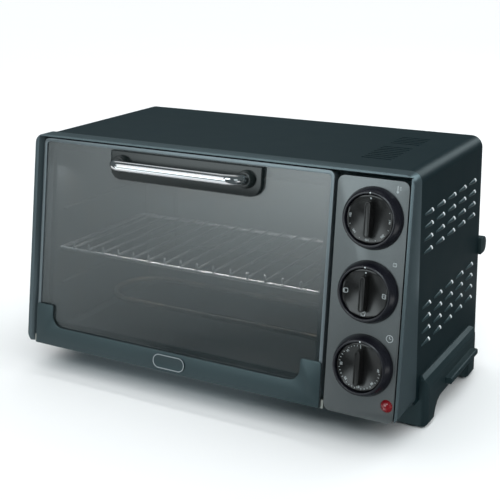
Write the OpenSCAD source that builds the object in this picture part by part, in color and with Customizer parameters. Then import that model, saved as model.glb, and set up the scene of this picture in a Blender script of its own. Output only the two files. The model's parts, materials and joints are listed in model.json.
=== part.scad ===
// Countertop toaster oven with a drop-down glass door, three rotary controls,
// a wire rack that comes forward with the door and a crumb tray that leaves at the back.
// X runs to the right, Y to the back, Z up. The origin is on the table, under the middle.

/* [Cabinet] */
// Width of the front frame
front_w = 430; // [420:1:440]
// Height of the front frame
front_h = 226; // [222:1:230]
// How far the front face leans back over its height
lean = 30; // [26:1:32]
// Depth of the front frame along the table
front_d = 48; // [46:1:54]
// Distance from the foot of the front face to the back panel
cabinet_d = 238; // [236:1:260]
// Height of the front frame above the table
foot_h = 28; // [24:1:34]
// Radius of the cabinet's two upper edges
edge_r = 12; // [8:1:16]

/* [Door] */
// Left edge of the door
door_left = -202.5; // [-203:0.5:-202]
// Right edge of the door
door_right = 137.5; // [137:0.5:138]
// Thickness of the door
door_t = 13; // [12:0.5:13]
// Thickness of the door glass
glass_t = 4; // [3:0.5:5]
// Middle of the handle
handle_x = -24; // [-40:0.5:0]
// Distance between the two ends of the handle bar
handle_span = 146; // [120:1:160]
// Radius of the handle bar
bar_r = 5; // [4:0.25:6]
// Distance from the glass to the middle of the handle bar
bar_reach = 27; // [26:1:34]

/* [Controls] */
// Middle of the three dials, measured from the middle of the cabinet
dial_x = 178.5; // [176:0.5:180]
// Radius of a bezel ring where it meets the panel
bezel_r = 29; // [27:0.25:30]
// Radius of a dial
dial_r = 22.3; // [20:0.1:22.4]
// Radius of a control shaft
shaft_r = 3; // [2.5:0.1:3.2]

/* [Oven] */
// Left side of the oven cavity
cavity_left = -196; // [-197:0.5:-195]
// Right side of the oven cavity
cavity_right = 124; // [123:0.5:125]
// Height of the rack above the lower edge of the front frame
rack_z = 100; // [95:1:105]
// Distance between the rack's cross wires
wire_pitch = 19.6; // [18:0.1:20]
// Radius of a heating element
element_r = 3.2; // [2.5:0.1:3.5]

/* [Hidden] */
$fn = 48;

// The face leans back by this angle, and face_len is its length along the slope.
tilt = atan(lean / front_h);
face_len = front_h / cos(tilt);
half_w = front_w / 2;

// Reach of the whole object before and behind the foot of the front face.
front_reach = 12.05;
bumper_reach = 20;
bumper_r = 9;
bumper_z = 104.5;
bumper_side = [201, 216];
bumper_root = [200, 211.5];
bumper_root_h = 13;
rear_reach = cabinet_d + bumper_reach;
front_y = -(rear_reach - front_reach) / 2;

// Front frame: depths are measured square to the leaning face.
frame_wall = 2.5;
flange_at = 14.5;
flange_t = 2;
behind_flange = flange_at + flange_t;
left_rim = 9;
right_rim = 3;
top_rim = 2;
corner_r = 10;

// Bases: their reach along the cabinet, and how far out they and their grip bars stand.
base_front = 61;
base_back = 216;
base_out = 222;
base_in = 190;
base_low = -26;
base_skirt = 24;
base_round = 6;
grip_out = 229;
grip_front = 113;
grip_back = 198;
grip_low = -1;
grip_high = 5.5;
arch_front = 82;
arch_back = 190;
arch_top = -7;
arch_r = 20;

// Housing and panels.
sheet = 1;
side_x = half_w - 2;
roof_z = front_h - 0.5;
bottom_gap = 1.2;
screw_r = 1.5;
screw_hole_r = 1.6;

// Side vents: scoops in two groups of rows, and the hollow under each scoop.
scoop_len = 23;
scoop_r = 2.8;
scoop_sink = 1.3;
slit_start = 8;
slit_inset = 0.6;
vent_front = 84;
vent_step = 33;
vent_high = 182;
vent_row = 12.3;
vent_group = 91;

// Vent slots in the top and in the back.
slot_left = 140;
slot_right = 171;
slot_pitch = 8;
slot_w = 2.4;
rear_slot_x = 150;
rear_slot_z = 96;
rear_slot = [20, 10, 3];
rear_slot_pitch = [26, 0, 9];

// Controls: heights along the leaning face.
dial_s = [50.5, 118.5, 186];
panel_left = 141.5;
panel_right = half_w - 4.2;
panel_low = 1;
panel_high = 222;
lamp_x = 203.5;
lamp_s = 17;
lamp_r = 5.3;
bezel_h = 12;
dial_face = 9.5;
grip_top = 17;
run_gap = 0.05;
bell_at = behind_flange + 33;
bell_r = 20;
bell_t = 1.2;
bell_stud_r = 2;

// Door.
door_low = 0.8;
door_high = 224.5;
door_face = 0.2;
glass_face = 1.5;
rail_h = 3.5;
stile_w = 3.2;
glass_gap = 0.1;
trim_h = 22;
ear_h = 45;
ear_w = 22;
ear_arc = 12;
trim_face = -1.4;
hinge_depth = 6;
hinge_s = 4;
pin_r = 2;
handle_s = 207.5;
plate_low = 190.5;
plate_high = 220.4;
plate_w = 177;
plate_face = -3.5;

// Cavity.
wall_t = 1;
cavity_back_y = 205;
cavity_top = 212;
cavity_low = 24;
tray_z = 4;
upper_el_z = 196;
lower_el_z = 34;
el_front_y = 82;
el_back_y = 162;
el_bend = (el_back_y - el_front_y) / 2;
el_left_x = cavity_left + 22 + el_bend;
el_end_x = 146;
rack_front_y = 35;
rack_back_y = 190;
runner_levels = [58, rack_z - 4.3, 140];

// The rest of the fittings.
gland_x = 180;
gland_z = 62;
eps = 0.1;

rear_screw_spots = [
  for (x = [-200, -70, 70, 200], z = [24, 212]) [x, z]
];
base_screw_spots = [for (x = [-200, 200], y = [100, 150, 196]) [x, y]];
control_screw_spots = [for (s = dial_s, side = [-1, 1]) [dial_x + side * 11, s]];

// Moves children from the cabinet's own corner, at the foot of the front face, to the table.
module cabinet() {
  translate([0, front_y, foot_h]) children();
}

// Moves children to the leaning face: Y goes into the oven and Z up the slope.
module face() {
  cabinet() rotate([-tilt, 0, 0]) children();
}

// Points along X, with the 2D shape's X as depth and its Y as height.
module along_x(x0, x1) {
  translate([x0, 0, 0]) rotate([90, 0, 90]) linear_extrude(x1 - x0) children();
}

// Points along Y, with the 2D shape's X as width and its Y as height.
module along_y(y0, y1) {
  translate([0, y1, 0]) rotate([90, 0, 0]) linear_extrude(y1 - y0) children();
}

// Box between two corners.
module box(low, high) {
  translate(low) cube(high - low);
}

// Round bar or bore along Y from y0 to y1.
module rod_y(x, z, r, y0, y1) {
  translate([x, y0, z]) rotate([-90, 0, 0]) cylinder(h = y1 - y0, r = r);
}

// Round bar or bore along X from x0 to x1.
module rod_x(y, z, r, x0, x1) {
  translate([x0, y, z]) rotate([0, 90, 0]) cylinder(h = x1 - x0, r = r);
}

// Rectangle with one radius for its four corners.
module rounded(x0, x1, z0, z1, r) {
  translate([x0 + r, z0]) square([x1 - x0 - 2 * r, z1 - z0]);
  translate([x0, z0 + r]) square([x1 - x0, z1 - z0 - 2 * r]);
  for (x = [x0 + r, x1 - r], z = [z0 + r, z1 - r]) translate([x, z]) circle(r);
}

// Rectangle whose upper corners have radius r and whose lower corners are square.
module arched(x0, x1, z0, z1, r) {
  rounded(x0, x1, z0, z1, r);
  translate([x0, z0]) square([x1 - x0, r]);
}

// Depth of the back of the frame's flange at a height above the frame's lower edge.
function flange_y(z) = z * tan(tilt) + behind_flange / cos(tilt);

// ---------------------------------------------------------------- cabinet

// Wedge-shaped frame: leaning front, upright back edge, and a flange behind the door.
module front_frame() {
  color("#464f54") difference() {
    cabinet() intersection() {
      along_x(-half_w, half_w)
        polygon([[0, 0], [front_d, 0], [front_d, front_h], [lean, front_h]]);
      along_y(-1, front_d + 1) rounded(-half_w, half_w, 0, front_h, corner_r);
    }
    face() {
      box([-half_w + left_rim, -40, -40],
          [half_w - right_rim, flange_at, face_len - top_rim]);
      // The left rim's inner edge slopes into the groove.
      linear_extrude(face_len - top_rim)
        polygon([[-half_w + left_rim - 5, -1], [-half_w + left_rim + 1, -1],
                 [-half_w + left_rim + 1, 7], [-half_w + left_rim, 6]]);
      // Way into the oven.
      box([cavity_left, 0, cavity_low], [cavity_right, 30, cavity_top]);
      for (s = dial_s) rod_y(dial_x, s, 5, 0, 30);
      rod_y(lamp_x, lamp_s, lamp_r + 0.2, 0, 30);
      for (p = control_screw_spots) rod_y(p[0], p[1] + 14, screw_hole_r, 0, 30);
    }
    intersection() {
      cabinet() along_y(0, front_d + 1)
        rounded(-half_w + frame_wall, half_w - frame_wall, frame_wall,
                front_h - frame_wall, corner_r - frame_wall);
      face() box([-half_w, behind_flange, -20], [half_w, 90, face_len + 20]);
    }
  }
}

// One scoop of the side vents: half a cone that swells towards its open back end.
module scoop(y, z) {
  translate([side_x - scoop_sink, y - scoop_len, z]) rotate([-90, 0, 0])
    cylinder(h = scoop_len, r1 = scoop_sink, r2 = scoop_r);
}

// Way for the air: the hollow under a scoop, with the slit behind it.
module scoop_slit(y, z) {
  translate([side_x - scoop_sink, y - scoop_len + slit_start, z]) rotate([-90, 0, 0])
    cylinder(h = scoop_len - slit_start + 1, r1 = scoop_sink - slit_inset,
             r2 = scoop_r - sheet + eps);
}

// Depth and height of each side vent: two groups of four rows and five columns.
function vent_spots() = [
  for (column = [0:4], group = [0, 1], row = [0:3])
    [vent_front + vent_step * column, vent_high - vent_row * row - vent_group * group]
];

// Slots across the top, one behind the other.
module top_slots(first_y, count) {
  for (i = [0:count - 1])
    box([slot_left, first_y + slot_pitch * i, roof_z - 3],
        [slot_right, first_y + slot_pitch * i + slot_w, roof_z + 1]);
}

// Top and both sides, folded from one sheet.
module outer_housing() {
  color("#182226") cabinet() difference() {
    union() {
      difference() {
        along_y(front_d, cabinet_d + 1) arched(-side_x, side_x, 0, roof_z, edge_r);
        along_y(front_d - 1, cabinet_d + 2)
          arched(-side_x + sheet, side_x - sheet, -1, roof_z - sheet, edge_r - sheet);
      }
      for (spot = vent_spots()) scoop(spot[0], spot[1]);
    }
    for (spot = vent_spots()) scoop_slit(spot[0], spot[1]);
    top_slots(84, 8);
    top_slots(160, 5);
  }
}

// Back sheet, with vents, the gland's hole and the crumb tray's slot.
module rear_panel() {
  color("#262c2f") cabinet() difference() {
    along_y(cabinet_d - 1, cabinet_d)
      arched(-side_x + sheet + eps, side_x - sheet - eps, 0, roof_z - sheet - eps,
             edge_r - sheet);
    box([cavity_left + 1, cabinet_d - 5, tray_z - 1],
        [cavity_right - 1, cabinet_d + 5, tray_z + 13]);
    rod_y(gland_x, gland_z, 6.5, cabinet_d - 5, cabinet_d + 5);
    for (p = rear_screw_spots) rod_y(p[0], p[1], screw_hole_r, cabinet_d - 5, cabinet_d + 5);
    for (row = [0:9], column = [0, 1])
      translate([rear_slot_x + rear_slot_pitch[0] * column, cabinet_d - 5,
                 rear_slot_z + rear_slot_pitch[2] * row])
        cube(rear_slot);
  }
}

// Floor sheet between the two bases.
module bottom_panel() {
  color("#262c2f") cabinet() difference() {
    box([-side_x + bottom_gap, front_d, 0], [side_x - bottom_gap, cabinet_d - bottom_gap, 1]);
    for (p = base_screw_spots) translate([p[0], p[1], -2]) cylinder(h = 5, r = screw_hole_r);
    for (i = [0:7], k = [0, 1])
      box([148 + 22 * k, 66 + 18 * i, -2], [164 + 22 * k, 70 + 18 * i, 3]);
  }
}

// Side view of a base: a skirt over the cabinet's lower edge and two feet with an arch between.
module base_side_view() {
  difference() {
    union() {
      translate([base_front, base_low])
        square([base_back - base_front, base_skirt - base_round - base_low]);
      translate([base_front + base_round, 0])
        square([base_back - base_front - 2 * base_round, base_skirt]);
      for (y = [base_front + base_round, base_back - base_round])
        translate([y, base_skirt - base_round]) circle(base_round);
    }
    translate([arch_front + arch_r, arch_top - arch_r]) circle(arch_r);
    translate([arch_front, arch_top - arch_r - 20]) square([arch_back - arch_front, 20]);
    translate([arch_front + arch_r, arch_top - arch_r - 20])
      square([arch_back - arch_front - arch_r, arch_r + 20]);
  }
}

// Section of the right base from the front, without its bar.
module base_section() {
  polygon([[base_in, base_low], [base_out - 2.5, base_low], [base_out, base_low + 2.5],
           [base_out, 12], [base_out - 1, 17], [base_out - 3.4, 21.5],
           [side_x + 1.6, base_skirt], [side_x + eps, base_skirt], [side_x + eps, -eps],
           [base_in, -eps]]);
}

// Right base moulding with its grip bar.
module base_moulding() {
  difference() {
    union() {
      intersection() {
        along_x(base_in - 2, base_out + 2) base_side_view();
        along_y(base_front - 1, base_back + 1) base_section();
        translate([0, 0, -40]) linear_extrude(80)
          rounded(base_in - 30, base_out, base_front, base_back, 7);
      }
      along_y(grip_front, grip_back) rounded(side_x + 1, grip_out, grip_low, grip_high, 2);
    }
    for (p = base_screw_spots)
      translate([abs(p[0]), p[1], -40]) cylinder(h = 60, r = screw_hole_r);
  }
}

module right_base() {
  color("#1b2224") cabinet() base_moulding();
}

module left_base() {
  color("#1b2224") cabinet() mirror([1, 0, 0]) base_moulding();
}

// Rubber pad under each foot.
module foot_pads() {
  color("#101010") cabinet()
    for (x = [-205, 205], y = [71.5, 203]) translate([x, y, -foot_h])
      cylinder(h = foot_h + base_low, r = 9);
}

// Stand-offs that keep the back away from a wall: a root on the back and a wider rounded knob.
module rear_bumpers() {
  color("#15191b") cabinet() for (side = [0, 1]) mirror([side, 0, 0]) {
    along_x(bumper_root[0], bumper_root[1])
      translate([cabinet_d, bumper_z - bumper_root_h / 2]) square([4, bumper_root_h]);
    along_x(bumper_side[0], bumper_side[1]) {
      translate([cabinet_d + 1 + eps, bumper_z - bumper_r])
        square([bumper_reach - bumper_r - 1 - eps, 2 * bumper_r]);
      translate([cabinet_d + bumper_reach - bumper_r, bumper_z]) circle(bumper_r);
    }
  }
}

// ---------------------------------------------------------------- controls

// Pressed panel that carries the three dials.
module control_panel() {
  color("#7c8286") face() difference() {
    along_y(0, flange_at) rounded(panel_left, panel_right, panel_low, panel_high, 7);
    along_y(1.5, flange_at + 1)
      rounded(panel_left + 1.5, panel_right - 1.5, panel_low + 1.5, panel_high - 1.5, 5.5);
    for (s = dial_s) rod_y(dial_x, s, 5, -1, 5);
    rod_y(lamp_x, lamp_s, lamp_r + eps, -1, 5);
  }
}

// Fixed ring round a dial, tapering to a narrow rim.
module bezel(s) {
  color("#0e1112") face() translate([dial_x, 0, s]) rotate([90, 0, 0]) {
    rotate_extrude() polygon([
      [dial_r + 0.6, 0], [bezel_r, 0], [bezel_r, 1.5], [bezel_r - 3.5, bezel_h - 0.8],
      [bezel_r - 4.6, bezel_h], [dial_r + 1, bezel_h], [dial_r + 0.6, bezel_h - 0.6]
    ]);
    difference() {
      cylinder(h = 1.2, r = dial_r + 1.2);
      translate([0, 0, -1]) cylinder(h = 4, r = 4);
    }
  }
}

module upper_bezel() {
  bezel(dial_s[2]);
}

module middle_bezel() {
  bezel(dial_s[1]);
}

module lower_bezel() {
  bezel(dial_s[0]);
}

// Dial with an upright grip between two hollows.
module dial(s) {
  color("#0a0c0d") face() translate([dial_x, 0, s]) rotate([90, 0, 0]) difference() {
    union() {
      translate([0, 0, 2.2]) cylinder(h = dial_face - 3.2, r = dial_r);
      translate([0, 0, dial_face - 1]) cylinder(h = 1, r1 = dial_r, r2 = dial_r - 1);
      translate([-3.6, -14, dial_face - 1]) cube([7.2, 28, grip_top - dial_face]);
      for (y = [-14, 14]) translate([0, y, dial_face - 1])
        cylinder(h = grip_top - dial_face, r = 3.6);
      translate([-2.6, -14, dial_face]) cube([5.2, 28, grip_top - dial_face]);
    }
    // Seat for the shaft, with its flat.
    translate([0, 0, 1]) cylinder(h = 8, r = shaft_r + 0.02);
  }
}

module temperature_dial() {
  dial(dial_s[2]);
}

module function_dial() {
  dial(dial_s[1]);
}

module timer_dial() {
  dial(dial_s[0]);
}

// Shaft from inside a dial to the control behind the flange.
module control_shaft(s) {
  color("#c9c9c4") face() rod_y(dial_x, s, shaft_r, -8, behind_flange + 9);
}

module temperature_shaft() {
  control_shaft(dial_s[2]);
}

module function_shaft() {
  control_shaft(dial_s[1]);
}

module timer_shaft() {
  control_shaft(dial_s[0]);
}

// Bimetal thermostat: ceramic body with two tabs.
module thermostat() {
  color("#d9d4c8") face() difference() {
    union() {
      box([dial_x - 17, behind_flange, dial_s[2] - 12],
          [dial_x + 17, behind_flange + 20, dial_s[2] + 20]);
      for (dx = [-10, 6]) box([dial_x + dx, behind_flange + 19, dial_s[2] - 4],
                              [dial_x + dx + 4, behind_flange + 28, dial_s[2] - 3]);
    }
    rod_y(dial_x, dial_s[2], shaft_r + run_gap, behind_flange - 1, behind_flange + 10);
  }
}

// Sensor tube from the thermostat, over the heat shield and into the oven.
module thermostat_sensor() {
  color("#b8895a") cabinet() {
    rod_x(110, 207, 1.2, cavity_right - 16, 168);
    rod_y(168, 207, 1.2, 68, 110);
    for (y = [68, 110]) translate([168, y, 207]) sphere(1.2);
    rod_x(110, 207, 2.6, cavity_right - 60, cavity_right - 14);
  }
}

// Rotary switch that chooses the elements.
module function_switch() {
  color("#3a3f42") face() difference() {
    union() {
      rod_y(dial_x, dial_s[1], 17, behind_flange, behind_flange + 28);
      box([dial_x - 13, behind_flange, dial_s[1] - 20],
          [dial_x + 13, behind_flange + 4, dial_s[1] + 20]);
      for (dx = [-9, -2, 5]) box([dial_x + dx, behind_flange + 27, dial_s[1] - 3],
                                 [dial_x + dx + 4, behind_flange + 36, dial_s[1] - 2]);
    }
    rod_y(dial_x, dial_s[1], shaft_r + run_gap, behind_flange - 1, behind_flange + 10);
  }
}

// Clockwork timer.
module timer_body() {
  color("#8d9396") face() difference() {
    union() {
      rod_y(dial_x, dial_s[0], 25, behind_flange, bell_at - 1);
      rod_y(dial_x, dial_s[0], 4, bell_at - 2, bell_at + 6);
      rod_y(dial_x, dial_s[0], bell_stud_r, bell_at + 5, bell_at + bell_r + 2);
    }
    rod_y(dial_x, dial_s[0], shaft_r + run_gap, behind_flange - 1, behind_flange + 10);
  }
}

// Bell that the timer strikes: a dome on the stud behind the timer, open towards it.
module timer_bell() {
  color("#b9bfc2") face() translate([dial_x, bell_at, dial_s[0]]) rotate([-90, 0, 0])
    rotate_extrude() difference() {
      intersection() {
        circle(bell_r);
        square([bell_r, bell_r]);
      }
      circle(bell_r - bell_t);
      square([bell_stud_r + run_gap, bell_r + 1]);
    }
}

// Red domed lens at the foot of the panel.
module indicator_lens() {
  color("#a3151d") face() translate([lamp_x, 0, lamp_s]) rotate([90, 0, 0]) {
    translate([0, 0, -6]) cylinder(h = 6, r = lamp_r);
    rotate_extrude() intersection() {
      translate([0, -3]) circle(sqrt(pow(lamp_r + 0.6, 2) + 9));
      square([10, 10]);
    }
  }
}

// Neon lamp in its holder, behind the lens.
module indicator_lamp() {
  color("#e8e2d4") face() {
    rod_y(lamp_x, lamp_s, 3, 7, 20);
    rod_y(lamp_x, lamp_s, 4.6, 14, 30);
  }
}

// ---------------------------------------------------------------- oven cavity

// Outline of a cavity side: its front edge leans with the flange.
module cavity_side_view(z0, z1) {
  polygon([[flange_y(z0) + 0.2, z0], [cavity_back_y, z0], [cavity_back_y, z1],
           [flange_y(z1) + 0.2, z1]]);
}

// Ledges that carry the rack, pressed from a side wall.
module runners(x0, x1) {
  for (z = runner_levels) box([x0, flange_y(z) + 12, z], [x1, cavity_back_y - 4, z + 2]);
}

module cavity_left_wall() {
  color("#9aa0a3") cabinet() {
    along_x(cavity_left - wall_t, cavity_left) cavity_side_view(3, cavity_top);
    runners(cavity_left - eps, cavity_left + 5);
  }
}

module cavity_right_wall() {
  color("#9aa0a3") cabinet() difference() {
    union() {
      along_x(cavity_right, cavity_right + wall_t) cavity_side_view(3, cavity_top);
      runners(cavity_right - 5, cavity_right + eps);
    }
    for (z = [upper_el_z, lower_el_z], y = [el_front_y, el_back_y])
      rod_x(y, z, 5, cavity_right - 2, cavity_right + 3);
    rod_x(110, 207, 1.6, cavity_right - 2, cavity_right + 3);
  }
}

module cavity_roof() {
  color("#9aa0a3") cabinet()
    box([cavity_left - wall_t, flange_y(cavity_top) + 0.2, cavity_top],
        [cavity_right + wall_t, cavity_back_y + wall_t, cavity_top + wall_t]);
}

// Back wall with a round bulge that lets a wide dish in.
module cavity_back() {
  middle = (cavity_left + cavity_right) / 2;
  color("#9aa0a3") cabinet() {
    difference() {
      box([cavity_left - wall_t, cavity_back_y, tray_z + 14],
          [cavity_right + wall_t, cavity_back_y + wall_t, cavity_top]);
      box([middle - 118, cavity_back_y - 1, 62], [middle + 118, cavity_back_y + 3, 136]);
    }
    // The bulge is a shallow curved box.
    intersection() {
      translate([middle, cavity_back_y - 235, 60]) difference() {
        cylinder(h = 78, r = 262, $fn = 96);
        translate([0, 0, 2]) cylinder(h = 74, r = 261, $fn = 96);
      }
      box([middle - 119, cavity_back_y, 50], [middle + 119, cavity_back_y + 40, 150]);
    }
  }
}

// Looped heating element at one height, with both ends through the right wall.
module element(z) {
  for (y = [el_front_y, el_back_y]) rod_x(y, z, element_r, el_left_x, el_end_x);
  translate([el_left_x, (el_front_y + el_back_y) / 2, z]) rotate([0, 0, 90])
    rotate_extrude(angle = 180) translate([el_bend, 0]) circle(element_r);
}

module upper_element() {
  color("#3c3f41") cabinet() element(upper_el_z);
}

module lower_element() {
  color("#3c3f41") cabinet() element(lower_el_z);
}

// Ceramic bushes where the elements pass through the wall.
module element_insulators() {
  color("#e9e6dd") cabinet() for (z = [upper_el_z, lower_el_z], y = [el_front_y, el_back_y])
    difference() {
      union() {
        rod_x(y, z, 4.9, cavity_right - 2, cavity_right + wall_t + 1);
        rod_x(y, z, 7, cavity_right + wall_t, cavity_right + 8);
      }
      rod_x(y, z, element_r + 0.04, cavity_right - 3, cavity_right + 9);
    }
}

// Wire hooks that carry the far end of the upper element.
module element_supports() {
  hook_z = upper_el_z - element_r - 0.2;
  color("#a9adaf") cabinet() for (y = [el_front_y + 12, el_back_y - 12]) {
    box([el_left_x - 6, y - 0.8, hook_z - 1], [el_left_x - 4, y + 0.8, cavity_top]);
    box([el_left_x - 6, y - 0.8, hook_z - 1], [el_left_x + 4, y + 0.8, hook_z]);
  }
}

// Bright sheet that keeps the oven's heat off the controls.
module heat_shield() {
  color("#c3c7c9") cabinet() difference() {
    box([136, 54, 5], [136.8, 202, 203]);
    for (z = [upper_el_z, lower_el_z], y = [el_front_y, el_back_y]) rod_x(y, z, 7.5, 130, 140);
  }
}

// ---------------------------------------------------------------- rack and tray

// Wire rack: frame, cross wires and their upturned ends.
module wire_rack() {
  frame_r = 2;
  wire_r = 1.3;
  x0 = cavity_left + 5;
  x1 = cavity_right - 5;
  middle = (x0 + x1) / 2;
  color("#c8ccce") cabinet() translate([0, 0, rack_z]) {
    for (y = [rack_front_y, rack_back_y]) rod_x(y, 0, frame_r, x0, x1);
    for (x = [x0, x1]) rod_y(x, 0, frame_r, rack_front_y, rack_back_y);
    for (x = [x0, x1], y = [rack_front_y, rack_back_y]) translate([x, y, 0]) sphere(frame_r);
    for (i = [-7:7]) {
      x = middle + i * wire_pitch;
      rod_y(x, 2.6, wire_r, rack_front_y - 0.5, rack_back_y);
      translate([x, rack_front_y - 0.5, 2.6]) cylinder(h = 5, r = wire_r);
      translate([x, rack_front_y - 0.5, 2.6]) sphere(wire_r);
      translate([x, rack_front_y - 0.5, 7.6]) sphere(wire_r);
    }
  }
}

// Shallow tray under the lower element. Its lip is reached from the back.
module crumb_tray() {
  x0 = cavity_left + 4;
  x1 = cavity_right - 4;
  color("#b4b8ba") cabinet() {
    difference() {
      box([x0, 30, tray_z], [x1, 233, tray_z + 9]);
      box([x0 + 1, 31, tray_z + 1], [x1 - 1, 232, tray_z + 10]);
    }
    box([-76, 232, tray_z + 2], [4, cabinet_d + 11, tray_z + 3.4]);
    box([-76, cabinet_d + 9.6, tray_z + 2], [4, cabinet_d + 11, tray_z + 10]);
  }
}

// ---------------------------------------------------------------- electrics

// Gland that the mains lead passes through.
module cord_gland() {
  color("#101314") cabinet() difference() {
    union() {
      rod_y(gland_x, gland_z, 6.4, cabinet_d - 6, cabinet_d + 1);
      rod_y(gland_x, gland_z, 10, cabinet_d, cabinet_d + 3);
      rod_y(gland_x, gland_z, 6.5, cabinet_d + 2, cabinet_d + 12);
      rod_y(gland_x, gland_z, 9, cabinet_d - 6, cabinet_d - 2);
    }
    rod_y(gland_x, gland_z, 3.6, cabinet_d - 8, cabinet_d + 14);
  }
}

module terminal_block() {
  color("#ded9cc") cabinet() {
    box([158, cabinet_d - 20, 26], [200, cabinet_d - 1, 36]);
    for (i = [0:2]) box([161 + 13 * i, cabinet_d - 17, 35], [170 + 13 * i, cabinet_d - 4, 44]);
  }
}

// One wire from the terminal block forward, up and on to a control.
module wire(x, start_y, z, end_y, high) {
  rod_y(x, z, 1.3, end_y, start_y);
  translate([x, end_y, z]) sphere(1.3);
  translate([x, end_y, z]) cylinder(h = high - z, r = 1.3);
}

module internal_wiring() {
  color("#b5483b") cabinet() {
    wire(163, cabinet_d - 21, 31, 84, 108);
    wire(186, cabinet_d - 21, 31, 84, 108);
    wire(172, cabinet_d - 21, 31, 96, 176);
    wire(196, cabinet_d - 21, 31, 104, 130);
  }
}

// ---------------------------------------------------------------- fasteners

module rear_screws() {
  color("#8f9496") cabinet() for (p = rear_screw_spots) {
    rod_y(p[0], p[1], screw_r, cabinet_d - 6, cabinet_d + 1);
    rod_y(p[0], p[1], 3.5, cabinet_d, cabinet_d + 1.8);
  }
}

module base_screws() {
  color("#8f9496") cabinet() for (p = base_screw_spots) translate([p[0], p[1], 1]) {
    translate([0, 0, -5]) cylinder(h = 6, r = screw_r);
    cylinder(h = 1.8, r = 3.5);
  }
}

module control_screws() {
  color("#8f9496") face() for (p = control_screw_spots) {
    rod_y(p[0], p[1] + 14, screw_r, flange_at - 1, behind_flange);
    rod_y(p[0], p[1] + 14, 3, flange_at - 1.8, flange_at);
  }
}

// ---------------------------------------------------------------- door

// Plates at the foot of the frame that hold the door's two pins.
module hinge_brackets() {
  color("#7a8083") face() for (x0 = [door_left - 3.2, door_right + 0.6]) difference() {
    box([x0, 1.5, 0.5], [x0 + 2.4, flange_at, 9]);
    rod_x(hinge_depth, hinge_s, pin_r + run_gap, x0 - 1, x0 + 4);
  }
}

// Thin frame round the glass, open behind to save weight.
module door_frame() {
  inner_left = door_left + stile_w;
  inner_right = door_right - stile_w;
  color("#59636a") face() difference() {
    along_y(door_face, door_t) arched(door_left, door_right, door_low, door_high, 6);
    // Seat of the glass.
    along_y(-1, glass_face + glass_t)
      arched(inner_left, inner_right, door_low + 1.2, door_high - rail_h, 4);
    along_y(0, door_t + 1) arched(inner_left, inner_right, trim_h, door_high - rail_h, 4);
    // Channel along the lower rail.
    box([inner_left, glass_face + glass_t + 1.8, 9], [inner_right, door_t + 1, trim_h + 1]);
    for (x = [door_left, door_right]) rod_x(hinge_depth, hinge_s, pin_r + 0.02, x - 4, x + 4);
  }
}

// Glass pane, drilled for the handle's screws.
module door_glass() {
  color([0.42, 0.45, 0.46, 0.45]) face() difference() {
    along_y(glass_face, glass_face + glass_t)
      arched(door_left + stile_w + glass_gap, door_right - stile_w - glass_gap,
             door_low + 1.3, door_high - rail_h - glass_gap, 4);
    for (side = [-1, 1])
      rod_y(handle_x + side * handle_span / 2, handle_s, 2.2, 0, 8);
    for (x = [door_left, door_right]) rod_x(hinge_depth, hinge_s, pin_r + 0.5, x - 6, x + 6);
  }
}

// Lower trim with an ear at each end.
module lower_trim() {
  color("#3d4a50") face() along_y(trim_face, door_face) difference() {
    union() {
      translate([door_left, door_low]) square([door_right - door_left, trim_h - door_low]);
      for (x = [door_left, door_right - ear_w]) translate([x, door_low])
        square([ear_w, ear_h - 3 - door_low]);
      for (x = [door_left, door_right - ear_w]) rounded(x, x + ear_w, trim_h, ear_h, 3);
      translate([door_left + ear_w - 1, trim_h - 1]) square([ear_arc + 1, ear_arc + 1]);
      translate([door_right - ear_w - ear_arc, trim_h - 1]) square([ear_arc + 1, ear_arc + 1]);
    }
    for (x = [door_left + ear_w + ear_arc, door_right - ear_w - ear_arc])
      translate([x, trim_h + ear_arc]) circle(ear_arc);
  }
}

// Plain oval plate in the middle of the trim.
module trim_badge() {
  color("#9aa1a5") face() along_y(trim_face - 1.2, trim_face) rounded(-49, -11, 4, 19, 7.4);
}

// Backing plate of the handle, on the glass.
module handle_plate() {
  x0 = handle_x - plate_w / 2;
  x1 = handle_x + plate_w / 2;
  color("#15191b") face() difference() {
    along_y(plate_face, glass_face - glass_gap) union() {
      rounded(x0, x1, plate_low, plate_high, 13);
      translate([x0, plate_high - 14]) square([plate_w, 14]);
    }
    for (side = [-1, 1])
      rod_y(handle_x + side * handle_span / 2, handle_s, 2.2, -10, 8);
  }
}

// Chrome bar whose ends curve back to the door.
module handle_bar() {
  bend = 14;
  half = handle_span / 2;
  color("#d4d8da") face() difference() {
    union() {
      rod_x(-bar_reach, handle_s, bar_r, handle_x - half + bend, handle_x + half - bend);
      for (side = [-1, 1]) {
        translate([handle_x + side * (half - bend), -bar_reach + bend, handle_s])
          rotate([0, 0, side > 0 ? -90 : 180])
            rotate_extrude(angle = 90) translate([bend, 0]) circle(bar_r);
        rod_y(handle_x + side * half, handle_s, bar_r, -bar_reach + bend, plate_face);
      }
    }
    for (side = [-1, 1])
      rod_y(handle_x + side * half, handle_s, 1.8, plate_face - 8, plate_face + 1);
  }
}

// Black collars where the bar meets the plate.
module handle_collars() {
  color("#0d1011") face() for (side = [-1, 1])
    translate([handle_x + side * handle_span / 2, plate_face, handle_s]) rotate([90, 0, 0])
      rotate_extrude()
        polygon([[bar_r + 0.02, 0], [9, 0], [9, 5], [7.6, 8.5], [bar_r + 0.02, 8.5]]);
}

// Screws from inside the door into the bar.
module handle_screws() {
  color("#8f9496") face() for (side = [-1, 1]) {
    x = handle_x + side * handle_span / 2;
    rod_y(x, handle_s, 1.75, plate_face - 7, glass_face + glass_t + 0.5);
    rod_y(x, handle_s, 5, glass_face + glass_t, glass_face + glass_t + 2.4);
  }
}

// Pins that the door turns on.
module hinge_pins() {
  color("#c4c8ca") face() {
    rod_x(hinge_depth, hinge_s, pin_r, door_left - 3.3, door_left + 3);
    rod_x(hinge_depth, hinge_s, pin_r, door_right - 3, door_right + 3.3);
  }
}

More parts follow.
